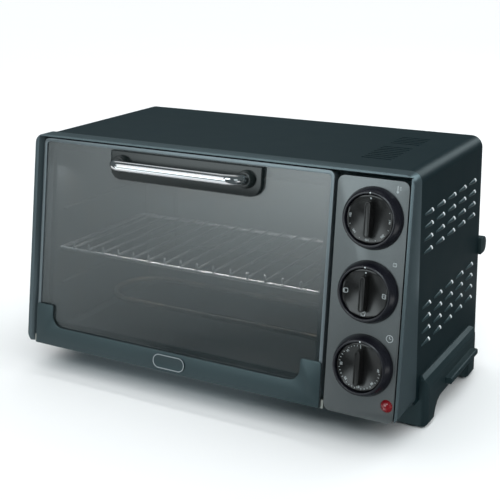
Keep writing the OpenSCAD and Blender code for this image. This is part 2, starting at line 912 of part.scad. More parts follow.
front_frame();
outer_housing();
rear_panel();
bottom_panel();
left_base();
right_base();
foot_pads();
rear_bumpers();
control_panel();
upper_bezel();
middle_bezel();
lower_bezel();
temperature_dial();
function_dial();
timer_dial();
temperature_shaft();
function_shaft();
timer_shaft();
thermostat();
thermostat_sensor();
function_switch();
timer_body();
timer_bell();
indicator_lens();
indicator_lamp();
cavity_left_wall();
cavity_right_wall();
cavity_roof();
cavity_back();
upper_element();
lower_element();
element_insulators();
element_supports();
heat_shield();
wire_rack();
crumb_tray();
cord_gland();
terminal_block();
internal_wiring();
rear_screws();
base_screws();
control_screws();
hinge_brackets();
door_frame();
door_glass();
lower_trim();
trim_badge();
handle_plate();
handle_bar();
handle_collars();
handle_screws();
hinge_pins();
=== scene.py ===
"""Finishes, detailed pieces and studio of a countertop toaster oven.

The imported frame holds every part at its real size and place. This script dresses each part in its
finish, replaces the plain ones with detailed pieces that ride on the same bodies, and sets the
floor, the lights and the camera.
"""

import json
import logging
import math
from collections.abc import Callable
from dataclasses import dataclass
from enum import Enum
from itertools import product

import bmesh
import bpy
from mathutils import Matrix, Vector

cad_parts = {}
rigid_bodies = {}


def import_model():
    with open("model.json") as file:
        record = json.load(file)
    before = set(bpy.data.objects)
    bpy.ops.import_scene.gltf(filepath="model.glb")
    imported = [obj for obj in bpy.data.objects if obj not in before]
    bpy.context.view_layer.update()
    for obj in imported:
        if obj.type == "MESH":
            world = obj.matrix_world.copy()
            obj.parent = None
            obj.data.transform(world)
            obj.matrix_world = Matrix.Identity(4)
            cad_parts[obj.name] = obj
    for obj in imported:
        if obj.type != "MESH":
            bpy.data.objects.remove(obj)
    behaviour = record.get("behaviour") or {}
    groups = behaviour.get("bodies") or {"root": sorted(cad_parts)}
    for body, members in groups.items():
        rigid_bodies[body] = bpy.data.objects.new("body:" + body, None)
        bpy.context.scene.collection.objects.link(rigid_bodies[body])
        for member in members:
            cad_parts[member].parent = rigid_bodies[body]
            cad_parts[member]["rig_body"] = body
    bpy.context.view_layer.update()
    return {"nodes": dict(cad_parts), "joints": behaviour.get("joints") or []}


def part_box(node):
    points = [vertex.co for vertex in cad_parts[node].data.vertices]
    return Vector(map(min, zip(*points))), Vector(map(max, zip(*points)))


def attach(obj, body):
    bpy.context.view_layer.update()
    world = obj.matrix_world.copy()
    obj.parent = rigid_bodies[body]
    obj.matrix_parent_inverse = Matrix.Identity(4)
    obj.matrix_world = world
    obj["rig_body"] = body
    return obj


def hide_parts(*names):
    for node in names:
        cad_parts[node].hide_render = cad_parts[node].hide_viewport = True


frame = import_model()

LOG = logging.getLogger("toaster_oven")
MM = 0.001
FULL_TURN = math.tau
FULL_ROUND = 0.5
SAME_SPOT = 1e-4
SAME_SPOT_M = 2e-6
HINGE_DEPTH = 6 * MM
HINGE_HEIGHT = 4 * MM

Triple = tuple[float, float, float]
Colour = Triple
Mesh = bmesh.types.BMesh
Point = tuple[float, float]
Box = tuple[Vector, Vector]

COOL_SHEEN: Colour = (0.7, 0.94, 1.0)
COOL_LAMP: Colour = (0.86, 0.97, 1.0)


def screen(red: float, green: float, blue: float) -> Colour:
    """Turns a colour as a screen shows it into the linear values that shaders take.

    Args:
        red: Red from 0 to 255.
        green: Green from 0 to 255.
        blue: Blue from 0 to 255.

    Returns:
        The three linear values from 0 to 1.
    """
    parts = [value / 255 for value in (red, green, blue)]
    linear = [c / 12.92 if c <= 0.04045 else ((c + 0.055) / 1.055) ** 2.4 for c in parts]
    return (linear[0], linear[1], linear[2])


def scaled(colour: Colour, factor: float) -> Colour:
    """Returns a colour made lighter or darker by a factor."""
    return (colour[0] * factor, colour[1] * factor, colour[2] * factor)


# ------------------------------------------------------------------ materials


class Signal:
    """A value or vector that flows through a material and can be used in arithmetic."""

    def __init__(self, graph: "Graph", socket: bpy.types.NodeSocket) -> None:
        """Wraps an output socket of a node in a graph."""
        self.graph = graph
        self.socket = socket

    def _math(self, operation: str, first: "Signal | float", second: "Signal | float") -> "Signal":
        """Adds a Math node for two operands and returns its result."""
        return self.graph.add("ShaderNodeMath", {"operation": operation}, {0: first, 1: second})

    def __add__(self, other: "Signal | float") -> "Signal":
        """Returns the sum."""
        return self._math("ADD", self, other)

    __radd__ = __add__

    def __sub__(self, other: "Signal | float") -> "Signal":
        """Returns this less the other."""
        return self._math("SUBTRACT", self, other)

    def __rsub__(self, other: "Signal | float") -> "Signal":
        """Returns the other less this."""
        return self._math("SUBTRACT", other, self)

    def __mul__(self, other: "Signal | float") -> "Signal":
        """Returns the product."""
        return self._math("MULTIPLY", self, other)

    __rmul__ = __mul__

    def held(self, low: float, high: float) -> "Signal":
        """Returns the value held between two limits."""
        return self.graph.add("ShaderNodeClamp", None, {"Value": self, "Min": low, "Max": high})

    def above(self, low: float, high: float) -> "Signal":
        """Returns 0 below low and 1 above high, with a soft step between them."""
        settings = {"interpolation_type": "SMOOTHSTEP", "clamp": True}
        inputs = {"Value": self, "From Min": low, "From Max": high, "To Min": 0.0, "To Max": 1.0}
        return self.graph.add("ShaderNodeMapRange", settings, inputs)


class Graph:
    """The node tree of one material."""

    def __init__(self, name: str) -> None:
        """Makes an empty material with that name."""
        self.material = bpy.data.materials.new(name)
        self.material.use_nodes = True
        self.tree = self.material.node_tree
        self.tree.nodes.clear()

    def add(
        self,
        kind: str,
        settings: dict[str, object] | None = None,
        inputs: dict[int | str, object] | None = None,
        output: int | str = 0,
    ) -> Signal:
        """Adds one node.

        Args:
            kind: The node's type.
            settings: The node's own settings.
            inputs: Values or signals for the node's sockets.
            output: Which output the result reads.

        Returns:
            The chosen output.
        """
        node = self.tree.nodes.new(kind)
        for key, value in (settings or {}).items():
            setattr(node, key, value)
        for key, value in (inputs or {}).items():
            if isinstance(value, Signal):
                self.tree.links.new(value.socket, node.inputs[key])
            else:
                node.inputs[key].default_value = value
        return Signal(self, node.outputs[output])

    def place(self) -> Signal:
        """Returns the Object coordinates, in metres."""
        return self.add("ShaderNodeTexCoord", output="Object")

    def stretched(self, vector: Signal, stretch: Triple) -> Signal:
        """Returns a vector multiplied part by part, so that a pattern runs in one direction."""
        inputs = {0: vector, 1: stretch}
        return self.add("ShaderNodeVectorMath", {"operation": "MULTIPLY"}, inputs)

    def noise(self, vector: Signal, scale: float, detail: float = 2.0) -> Signal:
        """Returns a cloudy pattern from about 0.2 to 0.8.

        Args:
            vector: Where the pattern is read.
            scale: Number of clouds in a metre.
            detail: How many finer layers it has.

        Returns:
            The pattern's value.
        """
        inputs = {"Vector": vector, "Scale": scale, "Detail": detail}
        return self.add("ShaderNodeTexNoise", None, inputs)

    def apart(self, vector: Signal) -> tuple[Signal, Signal, Signal]:
        """Returns the three parts of a vector."""
        node = self.add("ShaderNodeSeparateXYZ", None, {0: vector}).socket.node
        x, y, z = (Signal(self, socket) for socket in node.outputs)
        return x, y, z

    def cells(self, vector: Signal, scale: float) -> Signal:
        """Returns the distance to the middle of the nearest cell."""
        return self.add("ShaderNodeTexVoronoi", None, {"Vector": vector, "Scale": scale})

    def blend(self, factor: Signal, first: "Signal | Colour", second: "Signal | Colour") -> Signal:
        """Mixes two colours.

        Args:
            factor: 0 for the first colour, 1 for the second.
            first: The first colour.
            second: The second colour.

        Returns:
            The mixed colour.
        """
        ends = [end if isinstance(end, Signal) else (*end, 1.0) for end in (first, second)]
        settings = {"data_type": "RGBA", "clamp_factor": True}
        return self.add("ShaderNodeMix", settings, {0: factor, 6: ends[0], 7: ends[1]}, 2)

    def edge(self, radius: float) -> Signal:
        """Returns 1 near an edge and 0 on open faces.

        Args:
            radius: How far from the edge it reaches, in metres.

        Returns:
            The mask.
        """
        rounded = self.add("ShaderNodeBevel", {"samples": 4}, {"Radius": radius})
        flat = self.add("ShaderNodeNewGeometry", output="Normal")
        settings = {"operation": "DOT_PRODUCT"}
        same = self.add("ShaderNodeVectorMath", settings, {0: rounded, 1: flat}, "Value")
        return (1 - same).above(0.01, 0.2)

    def bump(self, height: Signal, depth: float) -> Signal:
        """Returns the normal of a surface raised by a pattern that is depth metres high."""
        return self.add("ShaderNodeBump", None, {"Height": height, "Distance": depth})

    def surface(self, **sockets: object) -> None:
        """Ends the material in a Principled shader.

        Args:
            sockets: Values or signals by socket, with underscores for the spaces in its name.
        """
        inputs = {}
        for key, value in sockets.items():
            if isinstance(value, tuple) and len(value) == 3:
                value = (*value, 1.0)
            inputs[key.replace("_", " ")] = value
        shader = self.add("ShaderNodeBsdfPrincipled", None, inputs)
        self.add_end(shader)

    def add_end(self, shader: Signal) -> None:
        """Leads a shader to the material's output."""
        end = self.tree.nodes.new("ShaderNodeOutputMaterial")
        self.tree.links.new(shader.socket, end.inputs["Surface"])


@dataclass(frozen=True)
class Finish:
    """What every finish has: a name, a colour and a roughness."""

    name: str
    colour: Colour
    roughness: float

    def material(self) -> bpy.types.Material:
        """Returns the finish's material, drawn the first time that it is asked for."""
        known = bpy.data.materials.get(self.name)
        if known:
            return known
        graph = Graph(self.name)
        self.draw(graph)
        return graph.material

    def draw(self, graph: Graph) -> None:
        """Draws the finish's nodes."""
        raise NotImplementedError


@dataclass(frozen=True)
class StovedPaint(Finish):
    """Baked enamel: flake, a little orange peel, dull patches and rubbed edges."""

    flake: float = 0.3
    metal: float = 0.0
    coat: float = 0.2
    peel: float = 0.01 * MM
    rub: float = 0.35
    shine: float = 0.5
    rub_width: float = 0.7 * MM
    cloud_scale: float = 14
    flake_scale: float = 3100
    skin_scale: float = 480
    dust_scale: float = 1500

    def draw(self, graph: Graph) -> None:
        """Draws the paint."""
        place = graph.place()
        clouds = graph.noise(place, self.cloud_scale, 3)
        sparkle = graph.noise(place, self.flake_scale, 1).above(0.56, 0.7)
        skin = graph.noise(place, self.skin_scale, 2)
        dust = graph.noise(place, self.dust_scale, 2).above(0.66, 0.74)
        worn = graph.edge(self.rub_width)
        tone = graph.blend(clouds, scaled(self.colour, 0.88), scaled(self.colour, 1.12))
        tone = graph.blend(sparkle * self.flake, tone, scaled(self.colour, 1.9))
        tone = graph.blend(worn * self.rub, tone, scaled(self.colour, 1.7))
        graph.surface(
            Base_Color=tone,
            Metallic=self.metal,
            Specular_IOR_Level=self.shine,
            Specular_Tint=COOL_SHEEN,
            Roughness=self.roughness + (clouds - 0.5) * 0.12 + dust * 0.1 - worn * 0.06,
            Coat_Weight=self.coat,
            Coat_Roughness=0.18,
            Normal=graph.bump(skin + dust * 0.4, self.peel),
        )


@dataclass(frozen=True)
class MouldedPlastic(Finish):
    """Moulded plastic or rubber with a fine grain and paler edges: handled wear, and where the
    lightening is strong a painted edge highlight.
    """

    grain: float = 0.03 * MM
    grain_scale: float = 1300
    rub: float = 0.4
    coat: float = 0.0
    shine: float = 0.3
    rub_width: float = 0.6 * MM
    cloud_scale: float = 25

    def draw(self, graph: Graph) -> None:
        """Draws the plastic."""
        place = graph.place()
        clouds = graph.noise(place, self.cloud_scale, 3)
        pores = graph.cells(place, self.grain_scale)
        fine = graph.noise(place, self.grain_scale * 1.7, 2)
        worn = graph.edge(self.rub_width)
        tone = graph.blend(clouds, scaled(self.colour, 0.85), scaled(self.colour, 1.15))
        # Paler edges: handled wear, and on the dial a painted highlight along its ridges and rim.
        tone = graph.blend(worn * self.rub, tone, scaled(self.colour, 2.1))
        graph.surface(
            Base_Color=tone,
            Roughness=self.roughness + (fine - 0.5) * 0.16 + (clouds - 0.5) * 0.1 - worn * 0.05,
            Specular_IOR_Level=self.shine,
            Specular_Tint=COOL_SHEEN,
            Coat_Weight=self.coat,
            Coat_Roughness=0.12,
            Normal=graph.bump(pores + fine * 0.6, self.grain),
        )


@dataclass(frozen=True)
class Plating(Finish):
    """Bright plating with a faint haze and hairline polishing marks."""

    haze: float = 0.06
    tint: Colour = (0.9, 0.86, 0.78)
    smear_scale: float = 70
    hair_stretch: Triple = (60, 2200, 2200)
    hair_depth: float = 0.004 * MM

    def draw(self, graph: Graph) -> None:
        """Draws the plating."""
        place = graph.place()
        smears = graph.noise(place, self.smear_scale, 4)
        hairs = graph.noise(graph.stretched(place, self.hair_stretch), 1, 2)
        tone = graph.blend(smears.above(0.45, 0.75) * 0.4, self.colour, self.tint)
        graph.surface(
            Base_Color=tone,
            Metallic=1.0,
            Roughness=self.roughness + smears.above(0.4, 0.75) * self.haze + hairs * 0.03,
            Normal=graph.bump(hairs, self.hair_depth),
        )


class Rolling(Enum):
    """Direction of a sheet's rolling marks, as the stretch that their pattern takes."""

    ALONG_X = (30.0, 1500.0, 1500.0)
    ALONG_Z = (1500.0, 1500.0, 30.0)


@dataclass(frozen=True)
class SheetMetal(Finish):
    """Bare or coated metal with rolling marks, zinc spangle and stains from heat."""

    rolling: Rolling = Rolling.ALONG_X
    spangle: float = 0.0
    stain: Colour = (0.30, 0.24, 0.17)
    stained: float = 0.0
    metal: float = 1.0
    crystal_scale: float = 160
    smoke_scale: float = 16
    speck_scale: float = 900
    mark_depth: float = 0.01 * MM

    def draw(self, graph: Graph) -> None:
        """Draws the metal."""
        place = graph.place()
        lines = graph.noise(graph.stretched(place, self.rolling.value), 1, 3)
        crystals = graph.cells(place, self.crystal_scale)
        smoke = graph.noise(place, self.smoke_scale, 4)
        specks = graph.noise(place, self.speck_scale, 2).above(0.64, 0.72)
        tone = graph.blend(lines, scaled(self.colour, 0.86), scaled(self.colour, 1.14))
        tone = graph.blend(crystals * self.spangle, tone, scaled(self.colour, 0.6))
        tone = graph.blend(smoke.above(0.42, 0.7) * self.stained, tone, self.stain)
        graph.surface(
            Base_Color=tone,
            Metallic=self.metal,
            Roughness=self.roughness + (lines - 0.5) * 0.2 + specks * 0.12 + (smoke - 0.5) * 0.15,
            Normal=graph.bump(lines + crystals * (self.spangle * 0.5), self.mark_depth),
        )


@dataclass(frozen=True)
class SmokedGlass(Finish):
    """Grey tempered glass with faint wiping smears."""

    body: float = 0.6
    bend: float = 2.2
    smear_stretch: Triple = (9, 9, 26)
    smear_depth: float = 0.004 * MM
    mote_scale: float = 1300

    def draw(self, graph: Graph) -> None:
        """Draws the glass."""
        place = graph.place()
        smears = graph.noise(graph.stretched(place, self.smear_stretch), 1, 4)
        motes = graph.noise(place, self.mote_scale, 1).above(0.7, 0.76)
        tone = graph.blend(smears, scaled(self.colour, 0.92), scaled(self.colour, 1.08))
        graph.surface(
            Base_Color=tone,
            Roughness=self.roughness + smears.above(0.4, 0.7) * 0.03 + motes * 0.06,
            IOR=self.bend,
            Alpha=self.body,
            Normal=graph.bump(smears, self.smear_depth),
        )


@dataclass(frozen=True)
class RedLens(Finish):
    """Clear red plastic with fine rings turned into its dome."""

    centre: Triple = (0.0, 0.0, 0.0)
    ring_scale: float = 9000
    ring_depth: float = 0.012 * MM
    glow_scale: float = 500

    def draw(self, graph: Graph) -> None:
        """Draws the lens."""
        place = graph.place()
        middle = graph.add("ShaderNodeMapping", None, {"Vector": place, "Location": self.centre})
        settings = {"operation": "LENGTH"}
        reach = graph.add("ShaderNodeVectorMath", settings, {0: middle}, "Value")
        rings = graph.add("ShaderNodeMath", {"operation": "SINE"}, {0: reach * self.ring_scale})
        glow = graph.noise(place, self.glow_scale, 2)
        tone = graph.blend(glow, scaled(self.colour, 0.7), scaled(self.colour, 1.4))
        graph.surface(
            Base_Color=tone,
            Roughness=self.roughness + glow * 0.06,
            Coat_Weight=0.5,
            Coat_Roughness=0.08,
            Normal=graph.bump(rings, self.ring_depth),
        )


@dataclass(frozen=True)
class GlazedCeramic(Finish):
    """Pale ceramic with iron specks and a broken glaze."""

    iron: Colour = (0.16, 0.11, 0.07)
    cloud_scale: float = 120
    speck_scale: float = 1100
    glaze_depth: float = 0.04 * MM

    def draw(self, graph: Graph) -> None:
        """Draws the ceramic."""
        place = graph.place()
        clouds = graph.noise(place, self.cloud_scale, 3)
        specks = graph.noise(place, self.speck_scale, 2).above(0.68, 0.74)
        tone = graph.blend(clouds, scaled(self.colour, 0.86), self.colour)
        tone = graph.blend(specks * 0.6, tone, self.iron)
        graph.surface(
            Base_Color=tone,
            Roughness=self.roughness + (clouds - 0.5) * 0.3,
            Normal=graph.bump(clouds + specks, self.glaze_depth),
        )


@dataclass(frozen=True)
class PrintedInk(Finish):
    """Screen-printed ink, a little thin in places."""

    base: Colour = (0.02, 0.025, 0.03)
    pore_scale: float = 2300
    ink_depth: float = 0.01 * MM

    def draw(self, graph: Graph) -> None:
        """Draws the ink."""
        place = graph.place()
        thin = graph.noise(place, self.pore_scale, 2).above(0.5, 0.72)
        tone = graph.blend(thin * 0.45, self.colour, self.base)
        graph.surface(
            Base_Color=tone,
            Roughness=self.roughness + thin * 0.1,
            Normal=graph.bump(thin, self.ink_depth),
        )


class Finishes:
    """Every finish of the oven, named for what it covers."""

    frame = StovedPaint("satin_frame_enamel", screen(80, 91, 95), 0.36, metal=0.6, coat=0.15)
    # Lighter than the frame enamel: a painted highlight standing in for the light along the door's
    # top rail.
    door = StovedPaint("satin_door_enamel_painted_highlight", screen(106, 114, 118), 0.34, metal=0.6, coat=0.1)
    panel = StovedPaint(
        "satin_panel_enamel", screen(97, 100, 101), 0.33, flake=0.35, metal=0.85, coat=0.05
    )
    trim = StovedPaint("dark_trim_enamel", screen(46, 58, 61), 0.32, metal=0.4)
    housing = StovedPaint(
        "black_housing_enamel",
        screen(13, 29, 33),
        0.42,
        flake=0.25,
        coat=0.03,
        peel=0.02 * MM,
        shine=0.25,
    )
    # Lighter than the housing enamel the scoops are pressed from: a painted highlight on the
    # scoops' bumps.
    hood = StovedPaint(
        "vent_hood_enamel_painted_highlight", screen(36, 52, 56), 0.36, flake=0.25, coat=0.1, peel=0.02 * MM
    )
    badge = SheetMetal("brushed_badge", screen(150, 158, 162), 0.34, metal=0.2)
    back = SheetMetal(
        "galvanised_back", screen(96, 103, 106), 0.42, Rolling.ALONG_Z, spangle=0.5
    )
    cavity = SheetMetal(
        "aluminised_cavity", screen(126, 132, 134), 0.45, spangle=0.15, stained=0.5
    )
    tray = SheetMetal("crumb_tray_aluminium", screen(170, 174, 176), 0.36, stained=0.3)
    shield = SheetMetal("bright_shield", screen(190, 194, 196), 0.28, Rolling.ALONG_Z)
    # Near white and not metallic: the punched edges are painted as glints, brighter than bare steel
    # edges would be.
    bright_edge = SheetMetal(
        "punched_edge_painted_glint", screen(214, 220, 222), 0.3, Rolling.ALONG_Z, metal=0.0
    )
    zinc = SheetMetal("zinc_plate", screen(166, 168, 162), 0.34, Rolling.ALONG_Z, spangle=0.2)
    timer_case = SheetMetal("pressed_timer_case", screen(150, 154, 156), 0.36, Rolling.ALONG_Z)
    sheath = SheetMetal("oxidised_sheath", screen(74, 74, 72), 0.5, stained=0.7, metal=0.8)
    copper = SheetMetal("drawn_copper", screen(186, 112, 78), 0.3, stained=0.4)
    chrome = Plating("handle_chrome_plate", (0.83, 0.84, 0.86), 0.05)
    rack = Plating("rack_chrome_plate", (0.78, 0.79, 0.8), 0.3, haze=0.12)
    base = MouldedPlastic("grained_base_plastic", screen(30, 43, 46), 0.4)
    bumper = MouldedPlastic("bumper_plastic", screen(34, 46, 48), 0.45)
    bezel = MouldedPlastic(
        "bezel_plastic",
        screen(18, 31, 34),
        0.26,
        grain=0.006 * MM,
        grain_scale=1700,
        rub=0.6,
        shine=0.7,
    )
    dial = MouldedPlastic(
        "dial_plastic",
        screen(14, 27, 30),
        0.26,
        grain=0.008 * MM,
        grain_scale=1700,
        # Strong edge lightening: a painted highlight along the grip's ridges and the dial's rim.
        rub=1.3,
        shine=0.12,
    )
    handle = MouldedPlastic(
        "handle_plastic", screen(16, 29, 32), 0.3, grain=0.01 * MM, grain_scale=1500, shine=0.2
    )
    rubber = MouldedPlastic(
        "foot_rubber", screen(24, 25, 26), 0.75, grain=0.06 * MM, grain_scale=700, rub=0.15
    )
    control = MouldedPlastic("control_case_plastic", screen(52, 44, 38), 0.5)
    wire = MouldedPlastic(
        "wire_sleeve", screen(176, 62, 50), 0.45, grain=0.04 * MM, grain_scale=2400, rub=0.1
    )
    ceramic = GlazedCeramic("steatite_ceramic", screen(232, 226, 212), 0.45)
    glass = SmokedGlass("smoked_door_glass", screen(58, 66, 68), 0.03)
    ink = PrintedInk("pale_dial_ink", screen(196, 204, 206), 0.5)
    panel_ink = PrintedInk(
        "pale_panel_ink", screen(188, 196, 198), 0.5, base=screen(92, 100, 104)
    )


# ------------------------------------------------------------------ mesh work


def rounded_plate(low: Point, high: Point, radii: tuple[float, ...], segments: int = 8) -> Mesh:
    """Makes a flat rectangle whose corners are rounded one by one.

    Args:
        low: Lower left corner, in millimetres.
        high: Upper right corner, in millimetres.
        radii: Radius of the lower left, lower right, upper right and upper left corners.
        segments: Number of edges in each rounded corner.

    Returns:
        A mesh with one face that looks along +Z.
    """
    corners = (low, (high[0], low[1]), high, (low[0], high[1]))
    return outlined_plate(list(corners), list(radii), segments)


def outlined_plate(outline: list[Point], radii: list[float], segments: int = 8) -> Mesh:
    """Makes a flat face from an outline and rounds each corner that has a radius.

    Args:
        outline: Corners anticlockwise, in millimetres.
        radii: Radius at each corner, 0 for a sharp one.
        segments: Number of edges in each rounded corner.

    Returns:
        A mesh with one face that looks along +Z.
    """
    mesh = bmesh.new()
    corners = [mesh.verts.new((x, y, 0)) for x, y in outline]
    mesh.faces.new(corners)
    for corner, radius in zip(corners, radii):
        if radius > 0:
            bmesh.ops.bevel(
                mesh,
                geom=[corner],
                offset=radius,
                offset_type="OFFSET",
                segments=segments,
                profile=FULL_ROUND,
                affect="VERTICES",
                material=-1,
            )
    return mesh


def thicken(mesh: Mesh, height: float) -> Mesh:
    """Raises every face of a flat mesh along Z, so that it becomes a closed plate.

    Args:
        mesh: A flat mesh.
        height: Thickness, in the mesh's own units.

    Returns:
        The same mesh.
    """
    made = bmesh.ops.extrude_face_region(mesh, geom=mesh.faces[:])
    raised = [item for item in made["geom"] if isinstance(item, bmesh.types.BMVert)]
    bmesh.ops.translate(mesh, verts=raised, vec=(0, 0, height))
    bmesh.ops.recalc_face_normals(mesh, faces=mesh.faces[:])
    return mesh


def soften(
    mesh: Mesh,
    width: float,
    choose: Callable[[bmesh.types.BMEdge], bool] | None = None,
    segments: int = 3,
    sharper_than: float = 28,
) -> Mesh:
    """Rounds the sharp edges of a mesh.

    Args:
        mesh: The mesh.
        width: How far the rounding reaches from each edge.
        choose: Says which edges are rounded, or None for all of them.
        segments: Number of strips in the rounding.
        sharper_than: Smallest angle between two faces that counts as sharp, in degrees.

    Returns:
        The same mesh.
    """
    limit = math.radians(sharper_than)
    edges = [e for e in mesh.edges if len(e.link_faces) == 2 and e.calc_face_angle(0) > limit]
    if choose:
        edges = [e for e in edges if choose(e)]
    bmesh.ops.bevel(
        mesh,
        geom=edges,
        offset=width,
        offset_type="OFFSET",
        segments=segments,
        profile=FULL_ROUND,
        affect="EDGES",
        clamp_overlap=True,
        material=-1,
    )
    return mesh


def turned(profile: list[Point], steps: int = 96) -> Mesh:
    """Turns a profile about Z into a closed shape.

    Args:
        profile: Radius and height of each point, in order. It is closed by a last edge unless both
            of its ends lie on the axis.
        steps: Number of strips round the axis.

    Returns:
        The turned mesh.
    """
    mesh = bmesh.new()
    points = [mesh.verts.new((radius, 0, height)) for radius, height in profile]
    edges = [mesh.edges.new(pair) for pair in zip(points, points[1:])]
    if profile[0][0] > 0 or profile[-1][0] > 0:
        edges.append(mesh.edges.new((points[-1], points[0])))
    bmesh.ops.spin(
        mesh,
        geom=points + edges,
        cent=(0, 0, 0),
        axis=(0, 0, 1),
        angle=FULL_TURN,
        steps=steps,
        use_merge=True,
    )
    bmesh.ops.remove_doubles(mesh, verts=mesh.verts[:], dist=SAME_SPOT)
    bmesh.ops.recalc_face_normals(mesh, faces=mesh.faces[:])
    return mesh


def top_faces(mesh: Mesh) -> list[bmesh.types.BMFace]:
    """Returns the flat faces at the highest level of a mesh."""
    highest = max(vert.co.z for vert in mesh.verts)
    return [f for f in mesh.faces if all(abs(v.co.z - highest) < SAME_SPOT for v in f.verts)]


def recess(mesh: Mesh, border: float, depth: float) -> Mesh:
    """Sinks the top of a plate inside a raised border.

    Args:
        mesh: A plate that looks along +Z.
        border: Width of the border.
        depth: How far the middle is sunk.

    Returns:
        The same mesh.
    """
    faces = top_faces(mesh)
    bmesh.ops.inset_region(mesh, faces=faces, thickness=border, depth=0, use_even_offset=True)
    bmesh.ops.inset_region(mesh, faces=faces, thickness=depth, use_even_offset=True)
    middle = {vert for face in faces for vert in face.verts}
    bmesh.ops.translate(mesh, verts=list(middle), vec=(0, 0, -depth))
    return mesh


def sliced(mesh: Mesh, spot: tuple[float, ...], outwards: tuple[float, ...]) -> Mesh:
    """Cuts away what lies beyond a plane and closes the cut.

    Args:
        mesh: The mesh.
        spot: A point of the plane.
        outwards: The direction in which everything is cut away.

    Returns:
        The same mesh.
    """
    cut = bmesh.ops.bisect_plane(
        mesh,
        geom=mesh.verts[:] + mesh.edges[:] + mesh.faces[:],
        plane_co=spot,
        plane_no=outwards,
        clear_outer=True,
    )
    rims = [item for item in cut["geom_cut"] if isinstance(item, bmesh.types.BMEdge)]
    bmesh.ops.holes_fill(mesh, edges=rims, sides=0)
    bmesh.ops.recalc_face_normals(mesh, faces=mesh.faces[:])
    return mesh


def merge_into(mesh: Mesh, part: Mesh, place: Matrix | None = None) -> None:
    """Adds a part to a mesh and frees the part.

    Args:
        mesh: The mesh that receives it.
        part: The part.
        place: Where it goes, or None to leave it where it is.
    """
    if place:
        bmesh.ops.transform(part, matrix=place, verts=part.verts[:])
    carrier = bpy.data.meshes.new("carrier")
    part.to_mesh(carrier)
    part.free()
    mesh.from_mesh(carrier)
    bpy.data.meshes.remove(carrier)


def lettered(text: str, height: float) -> Mesh:
    """Makes flat numerals centred on the origin.

    Args:
        text: The numerals.
        height: Their size, in millimetres.

    Returns:
        A flat mesh that looks along +Z.
    """
    curve = bpy.data.curves.new("numerals", "FONT")
    curve.body = text
    curve.size = height
    curve.align_x = "CENTER"
    curve.align_y = "CENTER"
    curve.resolution_u = 4
    carrier = bpy.data.objects.new("numerals", curve)
    bpy.context.scene.collection.objects.link(carrier)
    depsgraph = bpy.context.evaluated_depsgraph_get()
    outline = bpy.data.meshes.new_from_object(carrier.evaluated_get(depsgraph))
    mesh = bmesh.new()
    mesh.from_mesh(outline)
    bpy.data.meshes.remove(outline)
    bpy.data.objects.remove(carrier)
    bpy.data.curves.remove(curve)
    bmesh.ops.remove_doubles(mesh, verts=mesh.verts[:], dist=SAME_SPOT)
    return mesh


def at(x: float, y: float, z: float = 0.0, turn: float = 0.0) -> Matrix:
    """Returns a place in millimetres with a turn about Z in degrees."""
    return Matrix.Translation((x, y, z)) @ Matrix.Rotation(math.radians(turn), 4, "Z")


class Face:
    """The oven's leaning front, found from the axes of the door and of a dial."""

    def __init__(self, joints: list[dict]) -> None:
        """Reads the two axes from the frame's joints."""
        known = {joint["name"]: joint for joint in joints}
        self.inward = Vector(known["temperature_turn"]["axis"]).normalized()
        self.right = Vector((1, 0, 0))
        self.up = self.right.cross(self.inward)
        hinge = Vector(known["door_hinge"]["pos_m"])
        self.foot = hinge - self.inward * HINGE_DEPTH - self.up * HINGE_HEIGHT
        self.foot.x = 0

    def at(self, x: float, s: float, out: float = 0.0) -> Matrix:
        """Returns a place on the face whose Z looks out of it, in millimetres.

        Args:
            x: Distance to the right of the oven's middle.
            s: Distance up the slope.
            out: Distance in front of the face.

        Returns:
            The matrix that puts a mesh in millimetres there, in metres.
        """
        origin = self.foot + self.right * (x * MM) + self.up * (s * MM) - self.inward * (out * MM)
        axes = Matrix((self.right, self.up, -self.inward)).transposed().to_4x4()
        return Matrix.Translation(origin) @ axes @ Matrix.Scale(MM, 4)

    def read(self, point: Vector) -> Vector:
        """Returns a point's distances to the right, up the slope and out of the face, in mm."""
        offset = point - self.foot
        parts = (offset.dot(self.right), offset.dot(self.up), -offset.dot(self.inward))
        return Vector(parts) / MM

    def box(self, node: str) -> Box:
        """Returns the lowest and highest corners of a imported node, measured on the face in mm."""
        points = [self.read(vert.co) for vert in frame["nodes"][node].data.vertices]
        low = Vector([min(point[i] for point in points) for i in range(3)])
        high = Vector([max(point[i] for point in points) for i in range(3)])
        return low, high


